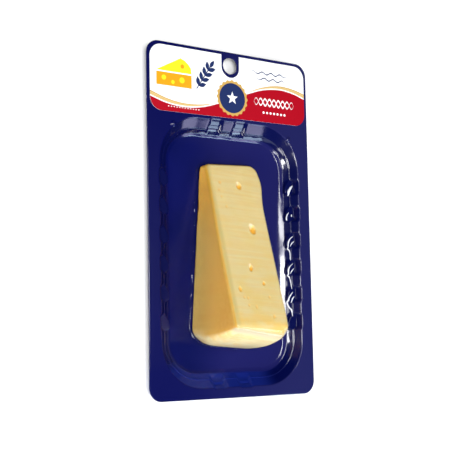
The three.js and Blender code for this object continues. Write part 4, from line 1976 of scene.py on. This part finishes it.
@dataclass
class HeaderLabel:
    """The printed header: a white ground, a red field under a gold band, a rosette and motifs."""

    tray: Tray
    half_width: float = 62.7
    top: float = 114.2
    bottom: float = 70.6
    tilt: float = 0.7
    corner: float = 8.5
    notch_half: float = 7.2
    notch_bottom: float = 98.7
    ground: Flat = (0.1, 0.4)
    layer: float = 0.03
    wave: tuple[Flat, ...] = (
        (-63.0, 78.8), (-50.0, 75.2), (-37.0, 74.0), (-24.0, 75.4), (-11.8, 79.0),
        (13.8, 89.0), (27.0, 93.4), (41.0, 95.2), (53.0, 93.8), (63.0, 90.9),
    )
    band_start: float = 14.0
    band_gap: float = 0.95
    band_width: float = 2.8
    band_point: float = 0.05
    stripes: Flat = (0.16, 0.5)
    stripe_share: float = 0.16
    seal: Flat = (1.04, 84.66)
    seal_radius: float = 12.2
    seal_points: int = 20
    seal_scallop: float = 0.42
    disc_radius: float = 10.4
    star_radius: float = 4.6
    star_inner: float = 0.42
    wave_length: float = 7.6
    corner_steps: int = 14
    slot_steps: int = 24
    field_steps: int = 90
    band_steps: int = 50
    stroke_steps: int = 72
    leaf_steps: int = 12
    bar_steps: int = 10
    scallop_steps: int = 12
    disc_steps: int = 64
    eye_steps: int = 24
    bead_steps: int = 16
    ground_strokes: tuple[Stroke, ...] = (
        Stroke(17.0, 49.0, 105.6, 0.8, 0.8, 0.0),
        Stroke(21.0, 47.0, 101.4, 0.8, 0.8, 0.3),
    )
    braid: tuple[Stroke, ...] = (
        Stroke(19.0, 53.2, 85.0, 2.4, 1.3, 0.0),
        Stroke(19.0, 53.2, 85.0, 2.4, 1.3, 0.5),
    )
    beads: tuple[Beads, ...] = (
        Beads("low", 7, (27.0, 77.6), 3.0, 0.85),
        Beads("left", 12, (-49.0, 73.4), 2.1, 0.42),
    )
    emblem: Emblem = Emblem()
    sprig: Sprig = Sprig()
    pieces: list[bpy.types.Object] = field(default_factory=list)

    def _corner(self, side: int, start: int) -> list[Flat]:
        """A corner of the label, whose lower edge is a little askew.

        Args:
            side: 1 for the right side, -1 for the left.
            start: Where its arc starts, in quarter turns.

        Returns:
            The corner's points, counter-clockwise.
        """
        x = side * (self.half_width - self.corner)
        low = self.bottom + self.tilt * x / self.half_width + self.corner
        y = low if start > 1 else self.top - self.corner
        return arc((x, y), self.corner, start, start + 1, self.corner_steps)

    def _ground(self) -> list[Flat]:
        """Draws the whole label, with the slot that clears the hang hole.

        Returns:
            The outline.
        """
        half, middle = self.notch_half, self.notch_bottom + self.notch_half
        slot = arc((0.0, middle), half, 0, -2, self.slot_steps)
        slot = [(half, self.top), *slot, (-half, self.top)]
        lower = self._corner(-1, 2) + self._corner(1, 3)
        return lower + self._corner(1, 0) + slot + self._corner(-1, 1)

    def _red_field(self) -> list[Flat]:
        """Draws the red field under the wave.

        Returns:
            The outline.
        """
        shares = [k / self.field_steps for k in range(self.field_steps + 1)]
        xs = [mix(self.half_width, -self.half_width, share) for share in shares]
        edge = [(x, curve_through(self.wave, x)) for x in xs]
        return self._corner(-1, 2) + self._corner(1, 3) + edge

    def _band(self, side: int, start: float, end: float) -> list[Flat]:
        """Outline of a stripe of the gold band on one side of the rosette.

        Args:
            side: 1 for the right side, -1 for the left.
            start: Share of the band's width at which the stripe starts.
            end: Share of the width at which it ends.

        Returns:
            The outline.
        """
        low, high = [], []
        for share in (k / self.band_steps for k in range(self.band_steps + 1)):
            x = side * mix(self.band_start, self.half_width, share)
            foot = curve_through(self.wave, x) + self.band_gap
            width = self.band_point + self.band_width * share**0.7
            low.append((x, foot + width * start))
            high.append((x, foot + width * end))
        return low + high[::-1] if side > 0 else high + low[::-1]

    def _bar(self, length: float, width: float) -> list[Flat]:
        """A bar with round ends, along +X."""
        half, steps = width / 2, self.bar_steps
        return arc((length - half, 0.0), half, -1, 1, steps) + arc((half, 0.0), half, 1, 3, steps)

    def _stroke(self, stroke: Stroke) -> list[Flat]:
        """Outline of a wavy stroke.

        Args:
            stroke: The stroke.

        Returns:
            The outline.
        """
        low, high = [], []
        for share in (k / self.stroke_steps for k in range(self.stroke_steps + 1)):
            x = mix(stroke.start, stroke.end, share)
            turns = (x - stroke.start) / self.wave_length + stroke.turn
            middle = stroke.y + stroke.swing * math.sin(2 * math.pi * turns)
            half = stroke.width / 2 * min(1.0, 0.15 + 4.0 * min(share, 1.0 - share))
            low.append((x, middle - half))
            high.append((x, middle + half))
        return low + high[::-1]

    def _leaf(self, length: float, width: float) -> list[Flat]:
        """A leaf, along +X.

        Args:
            length: Its length.
            width: Its width.

        Returns:
            The outline, counter-clockwise.
        """
        shares = [k / self.leaf_steps for k in range(self.leaf_steps + 1)]
        upper = [(length * s, width / 2 * math.sin(math.pi * s)) for s in shares]
        lower = [(x, -y) for x, y in reversed(upper[1:-1])]
        return (lower + upper)[::-1]

    def _dress(self, piece: bpy.types.Object, ink: Ink) -> None:
        """Gives a piece its ink and rides it on the pack.

        Args:
            piece: The piece.
            ink: Its ink.
        """
        piece.data.materials.append(ink.value.material())
        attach(piece, "root")
        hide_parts("label")
        self.pieces.append(piece)

    def _print(self, name: str, outline: list[Flat], ink: Ink, layer: int) -> None:
        """Lays one field of ink on the ground.

        Args:
            name: The piece's name.
            outline: Its outline.
            ink: Its ink.
            layer: How many layers up from the ground its face is.
        """
        face = self.tray.face + self.ground[1]
        low, high = face - self.layer, face + layer * self.layer
        self._dress(flat_piece(name, outline, low, high), ink)

    def _print_fields(self) -> None:
        """The white ground, the red field and the gold band."""
        low, high = (self.tray.face + rise for rise in self.ground)
        self._dress(flat_piece("label_ground", self._ground(), low, high), Ink.WHITE)
        self._print("label_red_field", self._red_field(), Ink.RED, 1)
        for name, side in (("right", 1), ("left", -1)):
            self._print(f"label_gold_band_{name}", self._band(side, 0.0, 1.0), Ink.GOLD, 1)
            for k, start in enumerate(self.stripes):
                stripe = self._band(side, start, start + self.stripe_share)
                self._print(f"label_gold_stripe_{name}_{k}", stripe, Ink.PALE_GOLD, 2)

    def _print_rosette(self) -> None:
        """The scalloped gold rosette with its navy disc and white star."""
        count = self.scallop_steps * self.seal_points
        waves = [math.cos(self.seal_points * k / count * 2 * math.pi) for k in range(count)]
        radii = [self.seal_radius + self.seal_scallop * wave for wave in waves]
        self._print("label_rosette", around(self.seal, radii), Ink.GOLD, 2)
        disc = around(self.seal, [self.disc_radius] * self.disc_steps)
        self._print("label_disc", disc, Ink.NAVY, 3)
        points = [self.star_radius, self.star_radius * self.star_inner] * 5
        self._print("label_star", around(self.seal, points, math.pi / 2), Ink.WHITE, 4)

    def _print_emblem(self) -> None:
        """A golden wedge, on the white ground."""
        emblem = self.emblem
        left, right, middle = emblem.left, emblem.right, emblem.middle
        top = middle + emblem.gap
        self._print("emblem_top", [(left, top), (right, top), *emblem.rind], Ink.YELLOW, 1)
        front = [(left, emblem.bottom), (right, emblem.bottom), (right, middle), (left, middle)]
        self._print("emblem_front", front, Ink.ORANGE, 1)
        for k, (x, y, radius) in enumerate(emblem.eyes):
            ink = Ink.YELLOW if y < middle else Ink.ORANGE
            self._print(f"emblem_eye_{k}", around((x, y), [radius] * self.eye_steps), ink, 2)

    def _print_sprig(self) -> None:
        """The sprig beside the emblem."""
        sprig = self.sprig
        stem = self._bar(sprig.length, sprig.stem)
        self._print("sprig_stem", sprig.placed(stem), Ink.NAVY, 1)
        for k in range(sprig.pairs):
            at = sprig.length * (k + 0.6) / (sprig.pairs + 0.4)
            for name, lean in (("left", sprig.spread), ("right", -sprig.spread)):
                leaf = sprig.placed(self._leaf(*sprig.leaf), at, lean)
                self._print(f"sprig_leaf_{name}_{k}", leaf, Ink.NAVY, 2)
        tip = sprig.placed(self._leaf(*sprig.tip_leaf), sprig.length - 1.0)
        self._print("sprig_leaf_tip", tip, Ink.NAVY, 2)

    def _print_ornaments(self) -> None:
        """Wavy lines on the white ground, and a braid and two rows of beads on the red field."""
        for k, stroke in enumerate(self.ground_strokes):
            self._print(f"ground_wave_{k}", self._stroke(stroke), Ink.NAVY, 1)
        for k, stroke in enumerate(self.braid):
            self._print(f"field_wave_{k}", self._stroke(stroke), Ink.WHITE, 2 + k)
        for row in self.beads:
            for k in range(row.count):
                middle = (row.first[0] + row.pitch * k, row.first[1])
                bead = around(middle, [row.radius] * self.bead_steps)
                self._print(f"field_bead_{row.name}_{k}", bead, Ink.WHITE, 2)

    def build(self) -> list[bpy.types.Object]:
        """Models every field of the label.

        Returns:
            The pieces that stand for the CAD node.
        """
        self._print_fields()
        self._print_rosette()
        self._print_emblem()
        self._print_sprig()
        self._print_ornaments()
        log.info("label: %d pieces", len(self.pieces))
        return self.pieces


# ------------------------------------------------------------------ studio


@dataclass(frozen=True)
class Lamp:
    """A rectangular soft lamp that points at a target. Its sizes are metres."""

    name: str
    place: Point
    size: Flat
    power: float
    colour: Point = (1.0, 1.0, 1.0)
    target: Point = (0.0, 0.0, 0.02)

    def build(self) -> None:
        """Adds the lamp to the scene."""
        bpy.ops.object.light_add(type="AREA", location=self.place)
        lamp = bpy.context.object
        lamp.name = lamp.data.name = self.name
        lamp.data.shape = "RECTANGLE"
        lamp.data.size, lamp.data.size_y = self.size
        lamp.data.energy = self.power
        lamp.data.color = self.colour
        aim = Vector(self.target) - Vector(self.place)
        lamp.rotation_euler = aim.to_track_quat("-Z", "Y").to_euler()


@dataclass
class Studio:
    """Pale floor, soft lamps, surroundings and the camera. Its sizes are metres.

    The surroundings are dark but for a pale part on the pack's right: air_span says where it
    starts and is full, as the first number of the direction, and air_strength how bright both are.
    """

    floor_size: float = 6.0
    floor_colours: tuple[Colour, Colour] = ((0.94, 0.94, 0.94, 1.0), (0.96, 0.96, 0.96, 1.0))
    air_span: Flat = (0.5, 0.64)
    air_strength: Flat = (0.03, 0.7)
    camera_place: Point = (-0.36174, -0.07827, 0.54768)
    camera_right: Point = (0.83520, -0.01918, 0.54961)
    camera_down: Point = (0.04726, -0.99319, -0.10648)
    camera_forward: Point = (0.54791, 0.11491, -0.82861)
    lens: float = 77.50
    sensor: float = 36.0
    lamps: tuple[Lamp, ...] = (
        Lamp("overhead_head", (0.24, 0.26, 1.2), (0.06, 0.13), 0.5, target=(0.0, 0.26, 0.0)),
        Lamp("overhead_middle", (0.365, 0.125, 1.2), (0.19, 0.15), 1.5, target=(0.0, 0.125, 0.0)),
        Lamp("overhead_foot", (0.35, -0.01, 1.2), (0.16, 0.14), 1.8, target=(0.0, 0.0, 0.0)),
        Lamp("camera_side_lamp", (-0.57, -0.12, 1.27), (0.42, 0.5), 14.6),
        Lamp("window_lamp", (-0.8, -0.33, 1.13), (0.32, 0.13), 4.0),
        Lamp("foot_lamp", (-0.22, -0.6, 1.1), (0.22, 0.28), 2.8),
        Lamp("left_foot_lamp", (-0.75, -1.1, 0.72), (0.6, 0.5), 7.6),
        Lamp("right_foot_lamp", (0.0, -1.2, 0.36), (1.1, 0.4), 1.2, (0.78, 0.89, 1.0)),
        Lamp("right_lamp", (0.86, -0.7, 0.59), (0.4, 0.4), 2.0, (0.72, 0.7, 1.0)),
        Lamp("header_lug_lamp", (0.67, -0.98, 0.36), (0.32, 0.36), 2.2, (0.6, 0.78, 1.0)),
        Lamp("header_glow_lamp", (0.78, -0.55, 0.92), (0.34, 0.26), 2.6, (0.6, 0.8, 1.0)),
    )

    def _floor(self) -> None:
        """A wide pale floor."""
        deselect_all()
        bpy.ops.mesh.primitive_plane_add(size=self.floor_size, location=(0, 0, 0))
        floor = bpy.context.object
        floor.name = "studio_floor"
        shader = Shader("pale_floor")
        colour = shader.blend(shader.noise(shader.place(), 3.0), *self.floor_colours)
        floor.data.materials.append(shader.principled(Base_Color=colour, Roughness=0.9))

    def _world(self) -> None:
        """The surroundings, and the plain view transform."""
        bpy.context.scene.view_settings.view_transform = "Standard"
        world = bpy.data.worlds.new("studio_air")
        bpy.context.scene.world = world
        world.use_nodes = True
        nodes, links = world.node_tree.nodes, world.node_tree.links
        direction = nodes.new("ShaderNodeTexCoord")
        apart = nodes.new("ShaderNodeSeparateXYZ")
        links.new(direction.outputs["Generated"], apart.inputs[0])
        ramp = nodes.new("ShaderNodeMapRange")
        ramp.interpolation_type = "SMOOTHSTEP"
        ramp.inputs["From Min"].default_value, ramp.inputs["From Max"].default_value = self.air_span
        ramp.inputs["To Min"].default_value, ramp.inputs["To Max"].default_value = self.air_strength
        links.new(apart.outputs[0], ramp.inputs["Value"])
        links.new(ramp.outputs[0], nodes["Background"].inputs["Strength"])

    def _camera(self) -> None:
        """The camera, placed by its own axes."""
        bpy.ops.object.camera_add(location=self.camera_place)
        camera = bpy.context.object
        camera.data.lens = self.lens
        camera.data.sensor_width = self.sensor
        camera.data.clip_start, camera.data.clip_end = 0.01, 20.0
        up, back = -Vector(self.camera_down), -Vector(self.camera_forward)
        frame = Matrix((Vector(self.camera_right), up, back)).transposed().to_4x4()
        frame.translation = Vector(self.camera_place)
        camera.matrix_world = frame
        bpy.context.scene.camera = camera

    def build(self) -> None:
        """Builds the whole studio."""
        self._floor()
        self._world()
        for lamp in self.lamps:
            lamp.build()
        self._camera()
        log.info("studio: %d lamps", len(self.lamps))


def main() -> None:
    """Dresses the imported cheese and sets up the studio."""
    logging.basicConfig(level=logging.INFO, format="%(name)s: %(message)s")
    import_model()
    Studio().build()
    tray = Tray()
    sheet = tray.build(GlossySheet())
    wedge = Wedge()
    Cheese(wedge).build(CheesePaste())
    SkinFilm(wedge).build(ClearFilm())
    FilmCreases(tray).build(CreaseHighlightPaint(), sheet)
    HeaderLabel(tray).build()


if __name__ == "__main__":
    main()
